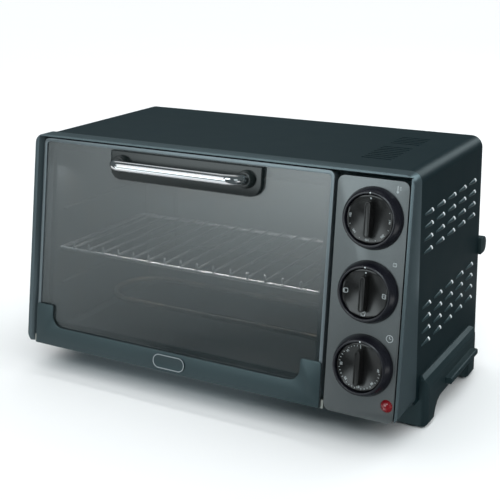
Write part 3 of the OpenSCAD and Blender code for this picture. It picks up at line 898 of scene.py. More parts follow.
class Workbench:
    """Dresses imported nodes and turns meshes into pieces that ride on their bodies."""

    flat_angle = 0.6

    def __init__(self) -> None:
        """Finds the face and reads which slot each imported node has."""
        self.nodes = frame["nodes"]
        self.face = Face(frame["joints"])
        self.slots = {name: node.data.materials[0].name for name, node in self.nodes.items()}

    def dress(self, node: str, finish: Finish) -> None:
        """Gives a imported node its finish.

        Args:
            node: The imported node.
            finish: The finish.
        """
        materials = self.nodes[node].data.materials
        materials.clear()
        materials.append(finish.material())
        LOG.info("dressed %s in %s", node, finish.name)

    def fit(
        self,
        name: str,
        mesh: Mesh,
        finish: Finish,
        like: str,
        place: Matrix | None = None,
        replaces: bool = True,
        crease: float = 32,
    ) -> bpy.types.Object:
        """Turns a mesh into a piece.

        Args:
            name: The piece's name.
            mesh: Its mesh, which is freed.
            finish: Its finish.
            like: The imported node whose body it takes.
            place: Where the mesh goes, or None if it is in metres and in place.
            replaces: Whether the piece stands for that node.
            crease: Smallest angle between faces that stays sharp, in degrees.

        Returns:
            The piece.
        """
        if place:
            bmesh.ops.transform(mesh, matrix=place, verts=mesh.verts[:])
        data = bpy.data.meshes.new(name)
        mesh.to_mesh(data)
        mesh.free()
        data.polygons.foreach_set("use_smooth", [True] * len(data.polygons))
        data.set_sharp_from_angle(angle=math.radians(crease))
        data.materials.append(finish.material())
        piece = bpy.data.objects.new(name, data)
        bpy.context.scene.collection.objects.link(piece)
        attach(piece, self.nodes[like]["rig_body"])
        if replaces:
            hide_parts(like)
        LOG.info("made %s, %d faces, in place of %s: %s", name, len(data.polygons), like, replaces)
        return piece

    def copied(self, node: str) -> Mesh:
        """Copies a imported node's mesh, merged and with its flat faces joined.

        Args:
            node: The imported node.

        Returns:
            The copy, in metres.
        """
        mesh = bmesh.new()
        mesh.from_mesh(self.nodes[node].data)
        bmesh.ops.remove_doubles(mesh, verts=mesh.verts[:], dist=SAME_SPOT_M)
        bmesh.ops.dissolve_limit(
            mesh,
            angle_limit=math.radians(self.flat_angle),
            use_dissolve_boundaries=False,
            verts=mesh.verts[:],
            edges=mesh.edges[:],
        )
        return mesh

    def softened(
        self,
        node: str,
        finish: Finish,
        width: float,
        choose: Callable[[bmesh.types.BMEdge], bool] | None = None,
    ) -> bpy.types.Object:
        """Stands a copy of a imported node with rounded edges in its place.

        Args:
            node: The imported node.
            finish: Its finish.
            width: Width of the rounding, in millimetres.
            choose: Says which edges are rounded, or None for all of them.

        Returns:
            The piece.
        """
        mesh = soften(self.copied(node), width * MM, choose)
        return self.fit(node + "_shell", mesh, finish, node)


# ------------------------------------------------------------------ sub-assemblies


@dataclass
class Casing:
    """Front frame, housing, back, floor, bases, pads and bumpers."""

    bench: Workbench
    frame_edge: float = 1.3
    rim_depth: float = 8.0
    rim_side: float = 210.5
    rim_top: float = 252.5
    base_edge: float = 1.8
    bumper_edge: float = 3.5
    lip_radius: float = 3.15
    lip_thickness: float = 1.0
    lip_length: float = 2.3
    lip_taper: float = 0.25
    hood_wall: float = 0.3
    hood_length: float = 20.0
    hood_foot: float = 1.58
    hood_mouth: float = 2.88
    lip_sink: float = 1.3
    lip_end: Triple = (0, 0.8, 0)
    housing_side: Triple = (0.02, 0, 0)
    first_vent: float = 36.0
    vent_pitch: float = 33.0
    vent_columns: int = 5
    vent_rows: int = 4
    row_pitch: float = 12.3
    group_pitch: float = 91.0
    top_row: float = 182.0
    floor_gap: float = 1.2

    def build(self) -> None:
        """Makes and dresses the casing."""
        bench = self.bench
        bench.softened("front_frame", Finishes.frame, self.frame_edge, self._on_rim)
        bench.dress("outer_housing", Finishes.housing)
        bench.dress("rear_panel", Finishes.back)
        bench.dress("bottom_panel", Finishes.back)
        bench.softened("left_base", Finishes.base, self.base_edge)
        bench.softened("right_base", Finishes.base, self.base_edge)
        bench.softened("rear_bumpers", Finishes.bumper, self.bumper_edge)
        bench.dress("foot_pads", Finishes.rubber)
        self._vents()

    def _on_rim(self, edge: bmesh.types.BMEdge) -> bool:
        """Says whether an edge of the frame shows from outside.

        Args:
            edge: The edge.

        Returns:
            True if it lies near the front, a side or the top.
        """
        middle = (edge.verts[0].co + edge.verts[1].co) / 2
        depth = -self.bench.face.read(middle).z
        near_side = abs(middle.x) > self.rim_side * MM
        return depth < self.rim_depth or near_side or middle.z > self.rim_top * MM

    def _vents(self) -> None:
        """Puts a hood, painted lighter as a painted highlight, and a punched lip, painted near
        white as a painted glint, on every side scoop.
        """
        frame_low, frame_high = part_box("front_frame")
        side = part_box("bottom_panel")[1].x + self.floor_gap * MM
        mouth = frame_high.y + self.first_vent * MM
        lips, hoods = bmesh.new(), bmesh.new()
        columns, rows = range(self.vent_columns), range(self.vent_rows)
        for column, group, row in product(columns, (0, 1), rows):
            drop = self.row_pitch * row + self.group_pitch * group
            height = frame_low.z + (self.top_row - drop) * MM
            spot = (side, mouth + self.vent_pitch * column * MM, height)
            place = Matrix.Translation(spot) @ Matrix.Rotation(-math.pi / 2, 4, "X")
            merge_into(lips, self._lip(), place @ Matrix.Scale(MM, 4))
            merge_into(hoods, self._hood(), place @ Matrix.Scale(MM, 4))
        bench = self.bench
        # The lips carry a painted glint and the hoods a painted highlight.
        bench.fit("vent_lips", lips, Finishes.bright_edge, "outer_housing", None, False)
        bench.fit("vent_hoods", hoods, Finishes.hood, "outer_housing", None, False)

    def _hood(self) -> Mesh:
        """Returns the outer half of a thin cone that swells towards the mouth of a scoop."""
        foot, mouth, length = self.hood_foot, self.hood_mouth, self.hood_length
        wall = self.hood_wall
        profile = [(foot - wall, -length), (foot, -length), (mouth, 0), (mouth - wall, 0)]
        hood = turned(profile, 24)
        bmesh.ops.translate(hood, verts=hood.verts[:], vec=(-self.lip_sink, 0, 0))
        return sliced(hood, self.housing_side, (-1, 0, 0))

    def _lip(self) -> Mesh:
        """Returns one lip: half of a short tapering ring, rounded along its edges."""
        outer, length = self.lip_radius, self.lip_length
        inner = outer - self.lip_thickness
        narrow = self.lip_taper
        profile = [(inner - narrow, 0), (outer - narrow, 0), (outer, length), (inner, length)]
        lip = turned(profile, 20)
        bmesh.ops.translate(lip, verts=lip.verts[:], vec=(-self.lip_sink, 0, -length))
        lip = sliced(lip, self.housing_side, (-1, 0, 0))
        return sliced(lip, self.lip_end, (0.25, 1, 0))


class Control(Enum):
    """The three rotary controls, by the start of their nodes' names and their bezel."""

    TEMPERATURE = ("temperature", "upper_bezel")
    FUNCTION = ("function", "middle_bezel")
    TIMER = ("timer", "lower_bezel")


@dataclass
class Dial:
    """A bezel ring, its dial with two hollows and an upright grip, and the printed marks."""

    bench: Workbench
    control: Control
    hollow: float = 3.6
    hollow_reach: float = 21.0
    grip_width: float = 7.0
    grip_length: float = 34.0
    grip_floor: float = 3.4
    grip_clearance: float = 0.35
    grip_rise: float = 7.5
    ridge: float = 0.75
    ridge_depth: float = 0.55
    rim: float = 1.1
    bezel_gap: float = 0.6
    bezel_skirt: float = 1.5
    bezel_shoulder: float = 0.55
    bezel_slope: float = 3.4
    bezel_lip: float = 4.4
    bezel_floor: float = 1.2
    bezel_bore: float = 4.0
    mark_radius: float = 18.9
    dot_radius: float = 0.75
    numeral: float = 3.5
    sign_size: float = 4.2
    minute_turn: float = 4.5
    ink_height: float = 0.07

    def build(self) -> None:
        """Makes the bezel, the dial and its marks."""
        name, bezel_node = self.control.value
        low, high = self.bench.face.box(bezel_node)
        centre = (low + high) / 2
        self.place = self.bench.face.at(centre.x, centre.y)
        self.bezel_radius = (high.x - low.x) / 2
        self.bezel_height = high.z
        dial_low, dial_high = self.bench.face.box(name + "_dial")
        self.radius = (dial_high.x - dial_low.x) / 2
        self.floor = dial_low.z
        self.top = dial_high.z
        self.surface = self.top - self.grip_rise
        self._bezel(bezel_node)
        self._dial(name + "_dial")
        self._marks(name)
        self.bench.dress(name + "_shaft", Finishes.zinc)

    def _bezel(self, node: str) -> None:
        """Turns the bezel ring, with its index dot."""
        outer, height = self.bezel_radius, self.bezel_height
        gap, skirt = self.bezel_gap, self.bezel_skirt
        inner = self.radius + gap
        profile = [
            (outer, 0),
            (outer, skirt),
            (outer - skirt, height * self.bezel_shoulder),
            (outer - self.bezel_slope, height - gap),
            (outer - self.bezel_lip, height),
            (inner + 0.5, height),
            (inner, height - gap),
            (inner, self.bezel_floor),
            (self.bezel_bore, self.bezel_floor),
            (self.bezel_bore, 0),
        ]
        ring = soften(turned(profile), 0.3, None, 3, 20)
        self.bench.fit(node + "_ring", ring, Finishes.bezel, node, self.place, crease=50)
        dot = bmesh.new()
        bmesh.ops.create_circle(dot, cap_ends=True, radius=self.dot_radius, segments=20)
        thicken(dot, self.ink_height)
        middle = (self.bezel_slope + self.bezel_lip) / 2
        spot = self.place @ at(0, (inner + outer - middle) / 2, height)
        self.bench.fit(node + "_index", dot, Finishes.ink, node, spot, False)

    def _depth(self, x: float, y: float) -> float:
        """Finds how deep the two hollows are at a point of the dial.

        Args:
            x: Distance to the right of its middle.
            y: Distance up from its middle.

        Returns:
            The depth, in millimetres.
        """
        across = max(0.0, 1 - (x / self.hollow_reach) ** 2)
        along = max(0.0, 1 - (y / self.hollow_reach) ** 2) ** 1.5
        return self.hollow * across * along

    def _dial(self, node: str) -> None:
        """Turns the dial, sinks its hollows and adds the grip."""
        rings = 22
        flat = self.radius - self.rim
        profile = [(flat * i / rings, self.surface) for i in range(rings + 1)]
        profile += [
            (self.radius - 0.35, self.surface - 0.3),
            (self.radius, self.surface - 1.0),
            (self.radius, self.floor + 0.4),
            (self.radius - 0.4, self.floor),
            (0, self.floor),
        ]
        disc = turned(profile, 112)
        for vert in disc.verts:
            if vert.co.z > self.surface - SAME_SPOT:
                vert.co.z -= self._depth(vert.co.x, vert.co.y)
        merge_into(disc, self._grip())
        self.bench.fit(node + "_cap", disc, Finishes.dial, node, self.place, crease=40)

    def _grip(self) -> Mesh:
        """Returns the upright grip: a tapering bar whose top has a ridge along each side."""
        half_w, half_l = self.grip_width / 2, self.grip_length / 2
        radius = half_w * 0.96
        grip = rounded_plate((-half_w, -half_l), (half_w, half_l), (radius,) * 4, 7)
        thicken(grip, self.top - self.grip_clearance - self.grip_floor)
        crown = [v for v in grip.verts if v.co.z > 1]
        bmesh.ops.scale(grip, verts=crown, vec=(0.74, 0.95, 1))
        bmesh.ops.translate(grip, verts=grip.verts[:], vec=(0, 0, self.grip_floor))
        recess(grip, self.ridge, self.ridge_depth)
        return soften(grip, 0.28, lambda e: min(v.co.z for v in e.verts) > self.grip_floor + 1)

    def _inked(self, ink: Mesh) -> Mesh:
        """Lays flat ink on the dial's curved face and gives it its thickness.

        Args:
            ink: The flat marks.

        Returns:
            The same mesh.
        """
        thicken(ink, self.ink_height)
        for vert in ink.verts:
            vert.co.z += self.surface - self._depth(vert.co.x, vert.co.y)
        return ink

    def _marks(self, name: str) -> None:
        """Prints the marks that this control has, in one piece.

        Args:
            name: The start of the control's node names.
        """
        ink = bmesh.new()
        drawn = {
            Control.TEMPERATURE: self._temperature_marks,
            Control.FUNCTION: self._function_marks,
            Control.TIMER: self._timer_marks,
        }
        drawn[self.control](ink)
        piece = self._inked(ink)
        node = name + "_dial"
        self.bench.fit(node + "_marks", piece, Finishes.ink, node, self.place, False)

    def _round_the_dial(self, ink: Mesh, part: Mesh, angle: float, radius: float) -> None:
        """Adds a mark at an angle anticlockwise from the top, with its head outwards."""
        merge_into(ink, part, at(0, 0, 0, angle) @ at(0, radius))

    def _off_dot(self, ink: Mesh) -> None:
        """Prints the dot that stands for off."""
        dot = bmesh.new()
        bmesh.ops.create_circle(dot, cap_ends=True, radius=self.dot_radius, segments=16)
        self._round_the_dial(ink, dot, 0, self.mark_radius)

    def _temperature_marks(self, ink: Mesh) -> None:
        """Prints a dot for off and the oven's temperatures with short ticks between them.

        Args:
            ink: The mesh that receives them.
        """
        self._off_dot(ink)
        for number, angle in ((100, 85), (140, 131), (180, 177), (200, 223), (230, 269)):
            size = self.numeral * 0.78
            self._round_the_dial(ink, lettered(str(number), size), angle, self.mark_radius)
            tick = rounded_plate((-0.14, -0.5), (0.14, 0.5), (0, 0, 0, 0))
            self._round_the_dial(ink, tick, angle + 23, self.mark_radius + 0.9)

    def _function_marks(self, ink: Mesh) -> None:
        """Prints a dot for off and one small oven sign for each way of heating.

        Args:
            ink: The mesh that receives them.
        """
        self._off_dot(ink)
        for bars, angle in (((1,), 90), ((-1,), 180), ((1, -1), 270)):
            sign = oven_sign(self.sign_size, bars)
            self._round_the_dial(ink, sign, angle, self.mark_radius - 0.3)

    def _timer_marks(self, ink: Mesh) -> None:
        """Prints the minutes: a long tick at the top, ticks all the way and numerals.

        Args:
            ink: The mesh that receives them.
        """
        start = rounded_plate((-0.3, -1.7), (0.3, 1.7), (0.2,) * 4, 3)
        self._round_the_dial(ink, start, 0, self.mark_radius)
        for minute in range(2, 61, 2):
            angle = minute * self.minute_turn
            if minute % 10 == 0:
                numerals = lettered(str(minute), self.numeral * 0.88)
                self._round_the_dial(ink, numerals, angle, self.mark_radius - 0.9)
            else:
                tick = rounded_plate((-0.16, -0.65), (0.16, 0.65), (0, 0, 0, 0))
                self._round_the_dial(ink, tick, angle, self.mark_radius + 0.9)


def outline_ring(outer: Mesh, width: float) -> Mesh:
    """Cuts the middle out of a flat plate and leaves a line round it.

    Args:
        outer: The flat plate.
        width: Width of the line.

    Returns:
        The same mesh.
    """
    faces = outer.faces[:]
    bmesh.ops.inset_region(
        outer, faces=faces, thickness=width, use_even_offset=True, use_boundary=True
    )
    bmesh.ops.delete(outer, geom=faces, context="FACES")
    return outer


def oven_sign(size: float, bars: tuple[int, ...]) -> Mesh:
    """Makes a small square sign with a heating bar above, below or both.

    Args:
        size: Side of the square, in millimetres.
        bars: 1 for a bar near the top, -1 for one near the bottom.

    Returns:
        A flat mesh that looks along +Z.
    """
    half = size / 2
    sign = rounded_plate((-half, -half), (half, half), (size * 0.22,) * 4, 4)
    outline_ring(sign, size * 0.1)
    for bar in bars:
        line = rounded_plate((-half * 0.5, -size * 0.05), (half * 0.5, size * 0.05), (0,) * 4)
        merge_into(sign, line, at(0, bar * half * 0.5))
    return sign


@dataclass
class ControlPanel:
    """The pressed panel with its printed signs and the red lens."""

    bench: Workbench
    edge: float = 1.2
    rim: float = 2.5
    sign_x: float = 202.0
    sign_scale: float = 1.5
    signs: Triple = (214.0, 146.5, 79.0)
    ink_height: float = 0.07

    def build(self) -> None:
        """Makes the panel, its signs, the dials and the lens."""
        bench = self.bench
        bench.softened("control_panel", Finishes.panel, self.edge, self._outline)
        self._signs()
        self._lens()
        bench.dress("indicator_lamp", Finishes.ceramic)
        bench.dress("control_screws", Finishes.zinc)
        for control in Control:
            Dial(bench, control).build()

    def _outline(self, edge: bmesh.types.BMEdge) -> bool:
        """Says whether an edge lies on the panel's front outline.

        Args:
            edge: The edge.

        Returns:
            True if both of its ends lie near the outline.
        """
        low, high = self.bench.face.box("control_panel")
        spots = [self.bench.face.read(vert.co) for vert in edge.verts]
        rim = self.rim
        return all(
            spot.z > -0.1
            and (
                spot.x < low.x + rim
                or spot.x > high.x - rim
                or spot.y < low.y + rim
                or spot.y > high.y - rim
            )
            for spot in spots
        )

    def _signs(self) -> None:
        """Prints a thermometer, an oven and a clock beside the three dials."""
        ink = bmesh.new()
        size = Matrix.Scale(self.sign_scale, 4)
        heat, oven, time = (at(self.sign_x, height) @ size for height in self.signs)
        bulb = bmesh.new()
        bmesh.ops.create_circle(bulb, cap_ends=True, radius=0.75, segments=16)
        merge_into(ink, bulb, heat @ at(-1.5, -1.3))
        stem = rounded_plate((-0.3, -0.9), (0.3, 2.4), (0, 0, 0.28, 0.28), 3)
        merge_into(ink, stem, heat @ at(-1.5, 0))
        for step in range(3):
            line = rounded_plate((0, -0.13), (1.1, 0.13), (0,) * 4)
            merge_into(ink, line, heat @ at(-0.4, 0.1 + 0.8 * step))
        merge_into(ink, oven_sign(2.4, (1, -1)), oven)
        clock = bmesh.new()
        bmesh.ops.create_circle(clock, cap_ends=True, radius=2.3, segments=28)
        merge_into(ink, outline_ring(clock, 0.35), time)
        for turn, reach in ((0, 1.5), (-90, 1.1)):
            hand = rounded_plate((-0.15, -0.15), (0.15, reach), (0,) * 4)
            merge_into(ink, hand, time @ at(0, 0, 0, turn))
        thicken(ink, self.ink_height)
        place = self.bench.face.at(0, 0, 0.01)
        self.bench.fit("panel_signs", ink, Finishes.panel_ink, "control_panel", place, False)

    def _lens(self) -> None:
        """Turns the domed lens with a small flange and a stub behind it."""
        node = "indicator_lens"
        low, high = self.bench.face.box(node)
        centre = (low + high) / 2
        outer = (high.x - low.x) / 2
        ball = (outer**2 + high.z**2) / (2 * high.z)
        steps = 14
        widest = math.asin(outer / ball)
        turns = [widest * i / steps for i in range(steps + 1)]
        drop = high.z - ball
        profile = [(ball * math.sin(turn), ball * math.cos(turn) + drop) for turn in turns]
        profile += [(outer - 0.6, -0.3), (outer - 0.6, low.z), (0, low.z)]
        lens = turned(profile, 64)
        place = self.bench.face.at(centre.x, centre.y)
        middle = place.to_translation()
        finish = RedLens("red_lens", (0.17, 0.005, 0.009), 0.1, tuple(-middle))
        self.bench.fit(node + "_dome", lens, finish, node, place, crease=50)


@dataclass
class Door:
    """Door frame, glass, lower trim with its badge, and the handle."""

    bench: Workbench
    frame_edge: float = 0.6
    trim_edge: float = 0.55
    ear_width: float = 22.0
    ear_radius: float = 3.0
    ear_arc: float = 12.0
    trim_height: float = 22.0
    badge_radius: float = 7.4
    badge_border: float = 0.9
    badge_rise: float = 0.3
    badge_inset: float = 0.3
    plate_radius: float = 13.0
    plate_edge: float = 1.2
    bar_bend: float = 14.0

    def build(self) -> None:
        """Makes the door's pieces."""
        bench = self.bench
        bench.softened("door_frame", Finishes.door, self.frame_edge)
        bench.dress("door_glass", Finishes.glass)
        bench.dress("hinge_pins", Finishes.zinc)
        bench.dress("hinge_brackets", Finishes.zinc)
        self._trim()
        self._badge()
        self._handle()

    def _trim(self) -> None:
        """Cuts the lower trim: a band with a rounded ear at each end."""
        node = "lower_trim"
        low, high = self.bench.face.box(node)
        ear_top, band = high.y, self.trim_height
        left, right = low.x + self.ear_width, high.x - self.ear_width
        outline = [
            (low.x, low.y),
            (high.x, low.y),
            (high.x, ear_top),
            (right, ear_top),
            (right, band),
            (left, band),
            (left, ear_top),
            (low.x, ear_top),
        ]
        ear, arc = self.ear_radius, self.ear_arc
        radii = [1.0, 1.0, ear, ear, arc, arc, ear, ear]
        trim = thicken(outlined_plate(outline, radii, 10), high.z - low.z)
        soften(trim, self.trim_edge)
        place = self.bench.face.at(0, 0, low.z)
        self.bench.fit(node + "_band", trim, Finishes.trim, node, place)

    def _badge(self) -> None:
        """Cuts the blank oval badge with its raised border."""
        node = "trim_badge"
        low, high = self.bench.face.box(node)
        badge = rounded_plate(low.xy[:], high.xy[:], (self.badge_radius,) * 4, 12)
        thicken(badge, high.z - low.z)
        recess(badge, self.badge_border, 0.35)
        soften(badge, 0.18, lambda edge: max(vert.co.z for vert in edge.verts) > 0.5)
        place = self.bench.face.at(0, 0, low.z)
        self.bench.fit(node + "_plate", badge, Finishes.trim, node, place)
        inset = Vector((self.badge_inset, self.badge_inset))
        corners = ((low.xy + inset)[:], (high.xy - inset)[:])
        rim = rounded_plate(*corners, (self.badge_radius - self.badge_inset,) * 4, 12)
        outline_ring(rim, self.badge_border)
        thicken(rim, self.badge_rise)
        place = self.bench.face.at(0, 0, high.z - self.badge_rise + 0.05)
        self.bench.fit(node + "_rim", rim, Finishes.badge, node, place, False)

    def _handle(self) -> None:
        """Makes the handle's plate and collars, and dresses the bar and its screws."""
        bench = self.bench
        node = "handle_plate"
        low, high = bench.face.box(node)
        big = self.plate_radius
        plate = rounded_plate(low.xy[:], high.xy[:], (big, big, 1.5, 1.5), 12)
        thicken(plate, high.z - low.z)
        soften(plate, self.plate_edge, lambda edge: max(vert.co.z for vert in edge.verts) > 1)
        bench.fit(node + "_panel", plate, Finishes.handle, node, bench.face.at(0, 0, low.z))
        place = bench.face.at(0, 0)
        bench.fit("handle_bar_tube", self._bar(), Finishes.chrome, "handle_bar", place, crease=50)
        bench.dress("handle_screws", Finishes.zinc)
        node = "handle_collars"
        low, high = bench.face.box(node)
        outer = (high.y - low.y) / 2
        bore = (bench.face.box("handle_bar")[1].y - bench.face.box("handle_bar")[0].y) / 2
        depth = high.z - low.z
        collars = bmesh.new()
        for x in (low.x + outer, high.x - outer):
            profile = [
                (bore, 0),
                (outer, 0),
                (outer, depth * 0.45),
                (outer - 0.5, depth * 0.72),
                (outer - 1.6, depth),
                (bore, depth),
            ]
            collar = soften(turned(profile, 64), 0.4, None, 3, 20)
            merge_into(collars, collar, at(x, (low.y + high.y) / 2))
        place = bench.face.at(0, 0, low.z)
        bench.fit(node + "_rings", collars, Finishes.handle, node, place, crease=50)


    def _bar(self) -> Mesh:
        """Draws the handle's tube: a straight run and, at each end, a bend and a post."""
        low, high = self.bench.face.box("handle_bar")
        middle = (low + high) / 2
        radius = (high.y - low.y) / 2
        level, bend = high.z - radius, self.bar_bend
        corner = Vector((high.x - radius - bend, middle.y, level - bend))
        bar = bmesh.new()
        sideways = Matrix.Rotation(math.pi / 2, 4, "Y")
        place = Matrix.Translation((middle.x, middle.y, level)) @ sideways
        bmesh.ops.create_circle(bar, radius=radius, segments=48, matrix=place)
        ring = self._drawn(bar, bar.edges[:], Vector((corner.x - middle.x, 0, 0)))
        turned_ring = bmesh.ops.spin(
            bar, geom=ring, cent=corner, axis=(0, 1, 0), angle=math.pi / 2, steps=16
        )
        ring = [g for g in turned_ring["geom_last"] if isinstance(g, bmesh.types.BMEdge)]
        ring = self._drawn(bar, ring, Vector((0, 0, low.z - corner.z)))
        bmesh.ops.edgenet_fill(bar, edges=ring)
        whole = bar.verts[:] + bar.edges[:] + bar.faces[:]
        mirror = Matrix.Translation((-middle.x, 0, 0))
        bmesh.ops.mirror(bar, geom=whole, matrix=mirror, merge_dist=SAME_SPOT, axis="X")
        bmesh.ops.recalc_face_normals(bar, faces=bar.faces[:])
        return bar

    def _drawn(
        self, bar: Mesh, ring: list[bmesh.types.BMEdge], way: Vector
    ) -> list[bmesh.types.BMEdge]:
        """Draws a ring of edges out along a straight way.

        Args:
            bar: The tube so far.
            ring: The ring at its open end.
            way: Direction and length of the new run.

        Returns:
            The ring at the new end.
        """
        made = bmesh.ops.extrude_edge_only(bar, edges=ring)["geom"]
        verts = [item for item in made if isinstance(item, bmesh.types.BMVert)]
        bmesh.ops.translate(bar, verts=verts, vec=way)
        edges = [item for item in made if isinstance(item, bmesh.types.BMEdge)]
        return [edge for edge in edges if all(vert in verts for vert in edge.verts)]


@dataclass
class Interior:
    """Everything behind the glass and behind the controls."""

    bench: Workbench

    def build(self) -> None:
        """Dresses the inner parts."""
        worn = {
            Finishes.cavity: (
                "cavity_left_wall",
                "cavity_right_wall",
                "cavity_roof",
                "cavity_back",
            ),
            Finishes.sheath: ("upper_element", "lower_element"),
            Finishes.ceramic: ("element_insulators", "thermostat", "terminal_block"),
            Finishes.zinc: ("element_supports", "timer_bell", "rear_screws", "base_screws"),
            Finishes.shield: ("heat_shield",),
            Finishes.rack: ("wire_rack",),
            Finishes.tray: ("crumb_tray",),
            Finishes.control: ("function_switch",),
            Finishes.timer_case: ("timer_body",),
            Finishes.copper: ("thermostat_sensor",),
            Finishes.wire: ("internal_wiring",),
            Finishes.bumper: ("cord_gland",),
        }
        for finish, nodes in worn.items():
            for node in nodes:
                self.bench.dress(node, finish)


# ------------------------------------------------------------------ studio


@dataclass(frozen=True)
class Softbox:
    """A rectangular lamp that looks at a point."""

    name: str
    spot: Triple
    target: Triple
    width: float
    height: float
    power: float
    colour: Colour = (1.0, 1.0, 1.0)

    def hang(self) -> None:
        """Puts the lamp in the scene."""
        lamp = bpy.data.lights.new(self.name, "AREA")
        lamp.shape = "RECTANGLE"
        lamp.size = self.width
        lamp.size_y = self.height
        lamp.energy = self.power
        lamp.color = self.colour
        carrier = bpy.data.objects.new(self.name, lamp)
        carrier.location = self.spot
        aim = Vector(self.target) - Vector(self.spot)
        carrier.rotation_mode = "QUATERNION"
        carrier.rotation_quaternion = aim.to_track_quat("-Z", "Y")
        carrier.visible_camera = False
        bpy.context.scene.collection.objects.link(carrier)


@dataclass
class Studio:
    """Pale floor and backdrop, soft light and the camera."""

    reach: float = 24.0
    card_ends: tuple[Point, Point] = ((-2.1, -1.4), (0.1, -2.19))
    card_heights: tuple[float, float] = (-3.0, 1.1)
    card_colour: Colour = (0.9, 0.93, 0.95)
    card_left: float = -1.45
    card_width: float = 0.85
    card_low: float = -0.18
    card_height: float = 0.55
    card_glow: tuple[float, float, float, float] = (0.66, 0.03, 1.0, 3.1)
    card_foot: float = -0.4
    foot_gain: float = 2.5
    foot_glow: float = 0.9
    sheet_height: float = 0.0005
    sheets: tuple[tuple[Point, Point], ...] = (
        ((-0.5, -0.36), (0.07, -0.02)),
        ((0.42, -0.35), (1.2, 0.15)),
        ((-1.5, -0.3), (-0.26, 0.3)),
        ((-1.2, 0.3), (0.26, 1.6)),
    )
    upper_cards: tuple[tuple[Point, Point, float, float], ...] = (
        ((-2.1, -1.4), (-0.4, -2.0), 1.15, 2.9),
        ((-1.9, 0.9), (-0.5, 1.6), 1.25, 2.1),
    )
    sky: float = 0.1
    sun: float = 3.1
    camera_spot: Triple = (0.5201, -0.9397, 0.465)
    azimuth: float = 29.1145
    elevation: float = 11.8707
    roll: float = 0.2934
    lens: float = 74.705
    sensor: float = 36.0
    rise: float = -0.2

    def build(self) -> None:
        """Sets the floor, the light and the camera."""
        self._floor()
        self._light()
        self._cards()
        self._camera()

    def _pale(self, name: str, colour: Colour, glow: float) -> bpy.types.Material:
        """Draws a plain pale material with a faint mottle.

        Args:
            name: The material's name.
            colour: Its colour.
            glow: How brightly it glows, or 0 for one that only takes light.

        Returns:
            The material.
        """
        graph = Graph(name)
        mottle = graph.noise(graph.place(), 3, 2)
        tone = graph.blend(mottle, scaled(colour, 0.99), colour)
        if glow > 0:
            inputs = {"Color": tone, "Strength": glow}
            graph.add_end(graph.add("ShaderNodeEmission", None, inputs))
        else:
            graph.surface(Base_Color=tone, Roughness=0.9, Specular_IOR_Level=0.0)
        return graph.material

    def _floor(self) -> None:
        """Lays the floor and closes it in with a bright dome that only the camera sees."""
        floor_mesh = bmesh.new()
        bmesh.ops.create_circle(floor_mesh, cap_ends=True, radius=self.reach, segments=64)
        dome_mesh = bmesh.new()
        bmesh.ops.create_uvsphere(dome_mesh, u_segments=48, v_segments=24, radius=self.reach)
        bmesh.ops.reverse_faces(dome_mesh, faces=dome_mesh.faces[:])
        made = []
        for name, mesh, glow in (("floor", floor_mesh, 0.0), ("backdrop", dome_mesh, 0.95)):
            data = bpy.data.meshes.new(name)
            mesh.to_mesh(data)
            mesh.free()
            data.materials.append(self._pale("pale_" + name, (0.93, 0.94, 0.945), glow))
            piece = bpy.data.objects.new(name, data)
            bpy.context.scene.collection.objects.link(piece)
            made.append(piece)
        floor, backdrop = made
        floor.visible_glossy = False
        backdrop.visible_glossy = False
        backdrop.visible_diffuse = False
        backdrop.visible_shadow = False
        backdrop.visible_transmission = False

    def _light(self) -> None:
        """Sets a dim sky, a broad overhead glow and the softboxes."""
        scene = bpy.context.scene
        scene.view_settings.view_transform = "Standard"
        world = bpy.data.worlds.new("studio")
        world.use_nodes = True
        sky = world.node_tree.nodes["Background"]
        sky.inputs["Color"].default_value = (0.78, 0.95, 1.0, 1.0)
        sky.inputs["Strength"].default_value = self.sky
        scene.world = world
        glow = bpy.data.lights.new("overhead_glow", "SUN")
        glow.energy = self.sun
        glow.angle = math.radians(120)
        carrier = bpy.data.objects.new("overhead_glow", glow)
        carrier.rotation_euler = (math.radians(-8), math.radians(6), 0)
        carrier.visible_glossy = False
        scene.collection.objects.link(carrier)
        middle = (0.0, 0.0, 0.15)
        for softbox in (
            Softbox("front_softbox", (0.5, -1.7, 1.5), middle, 0.9, 0.7, 10, COOL_LAMP),
            Softbox("right_softbox", (1.9, -0.9, 0.75), middle, 0.8, 1.2, 1.6, COOL_LAMP),
            Softbox("top_softbox", (-0.3, 0.6, 2.1), middle, 1.8, 1.0, 1.5),
            Softbox("rear_softbox", (0.9, 2.1, 1.2), middle, 1.2, 1.0, 9, COOL_LAMP),
            Softbox("rack_strip", (-0.036, -0.062, 0.215), (-0.036, -0.085, 0.1), 0.29, 0.01, 0.6),
        ):
            softbox.hang()

    def _cards(self) -> None:
        """Places the glowing cards and sheets that the glass, enamel and chrome mirror."""
        card = bmesh.new()
        self._upright(card, *self.card_ends, *self.card_heights)
        self._card("front_card", card, self._card_glow())
        sheet = bmesh.new()
        for near, far in self.sheets:
            spots = ((near[0], near[1]), (far[0], near[1]), (far[0], far[1]), (near[0], far[1]))
            sheet.faces.new([sheet.verts.new((x, y, self.sheet_height)) for x, y in spots])
        self._card("table_card", sheet, self._pale("table_card_glow", self.card_colour, 0.9))
        upper = bmesh.new()
        for panel in self.upper_cards:
            self._upright(upper, *panel)
        self._card("upper_card", upper, self._pale("upper_card_glow", self.card_colour, 1.1))

    def _upright(self, mesh: Mesh, start: Point, end: Point, foot: float, head: float) -> None:
        """Adds an upright rectangle to a mesh.

        Args:
            mesh: The mesh.
            start: Its first end on the floor plan.
            end: Its other end.
            foot: Height of its lower edge.
            head: Height of its upper edge.
        """
        spots = ((*start, foot), (*end, foot), (*end, head), (*start, head))
        mesh.faces.new([mesh.verts.new(spot) for spot in spots])

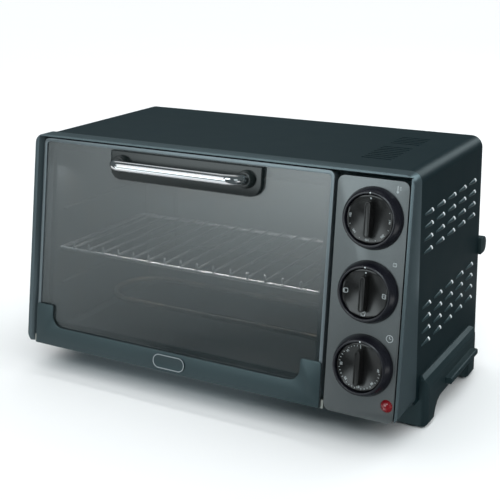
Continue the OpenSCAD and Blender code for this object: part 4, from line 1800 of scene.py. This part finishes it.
    def _card_glow(self) -> bpy.types.Material:
        """Draws the front card's glow, which changes across it and up it.

        Returns:
            The material.
        """
        graph = Graph("front_card_glow")
        x, _, z = graph.apart(graph.place())
        right = ((x - self.card_left) * (1 / self.card_width)).held(-0.4, 1.3)
        up = ((z - self.card_low) * (1 / self.card_height)).held(-0.2, 1.5)
        low_left, low_right, high_left, high_right = self.card_glow
        low = low_left + right * (low_right - low_left)
        high = high_left + right * (high_right - high_left)
        below = ((self.card_foot - z) * self.foot_gain).held(0.0, self.foot_glow)
        level = (low + up * (high - low)).held(0.02, 3.0) + below
        tone = graph.add("ShaderNodeCombineXYZ", None, {0: level * 0.9, 1: level, 2: level * 1.02})
        graph.add_end(graph.add("ShaderNodeEmission", None, {"Color": tone, "Strength": 1.0}))
        return graph.material

    def _card(self, name: str, mesh: Mesh, material: bpy.types.Material) -> None:
        """Puts a glowing card in the scene, which only mirrored rays see.

        Args:
            name: The card's name.
            mesh: Its mesh, which is freed.
            material: Its material.
        """
        data = bpy.data.meshes.new(name)
        mesh.to_mesh(data)
        mesh.free()
        data.materials.append(material)
        piece = bpy.data.objects.new(name, data)
        bpy.context.scene.collection.objects.link(piece)
        piece.visible_camera = False
        piece.visible_diffuse = False
        piece.visible_shadow = False
        piece.visible_transmission = False

    def _camera(self) -> None:
        """Sets the camera by its place, its direction and its small roll."""
        azimuth, elevation = math.radians(self.azimuth), math.radians(self.elevation)
        sight = Vector(
            (
                -math.sin(azimuth) * math.cos(elevation),
                math.cos(azimuth) * math.cos(elevation),
                -math.sin(elevation),
            )
        )
        right = sight.cross(Vector((0, 0, 1))).normalized()
        turn = Matrix.Rotation(math.radians(self.roll), 3, sight)
        right = turn @ right
        up = right.cross(sight)
        camera = bpy.data.cameras.new("camera")
        camera.lens = self.lens
        camera.sensor_width = self.sensor
        camera.shift_y = self.rise
        camera.clip_end = 2 * self.reach
        carrier = bpy.data.objects.new("camera", camera)
        axes = Matrix((right, up, -sight)).transposed().to_4x4()
        carrier.matrix_world = Matrix.Translation(self.camera_spot) @ axes
        bpy.context.scene.collection.objects.link(carrier)
        bpy.context.scene.camera = carrier


def main() -> None:
    """Builds the oven's pieces in order, then the studio."""
    logging.basicConfig(level=logging.INFO, format="%(message)s")
    bench = Workbench()
    Studio().build()
    Casing(bench).build()
    ControlPanel(bench).build()
    Door(bench).build()
    Interior(bench).build()


if __name__ == "__main__":
    main()
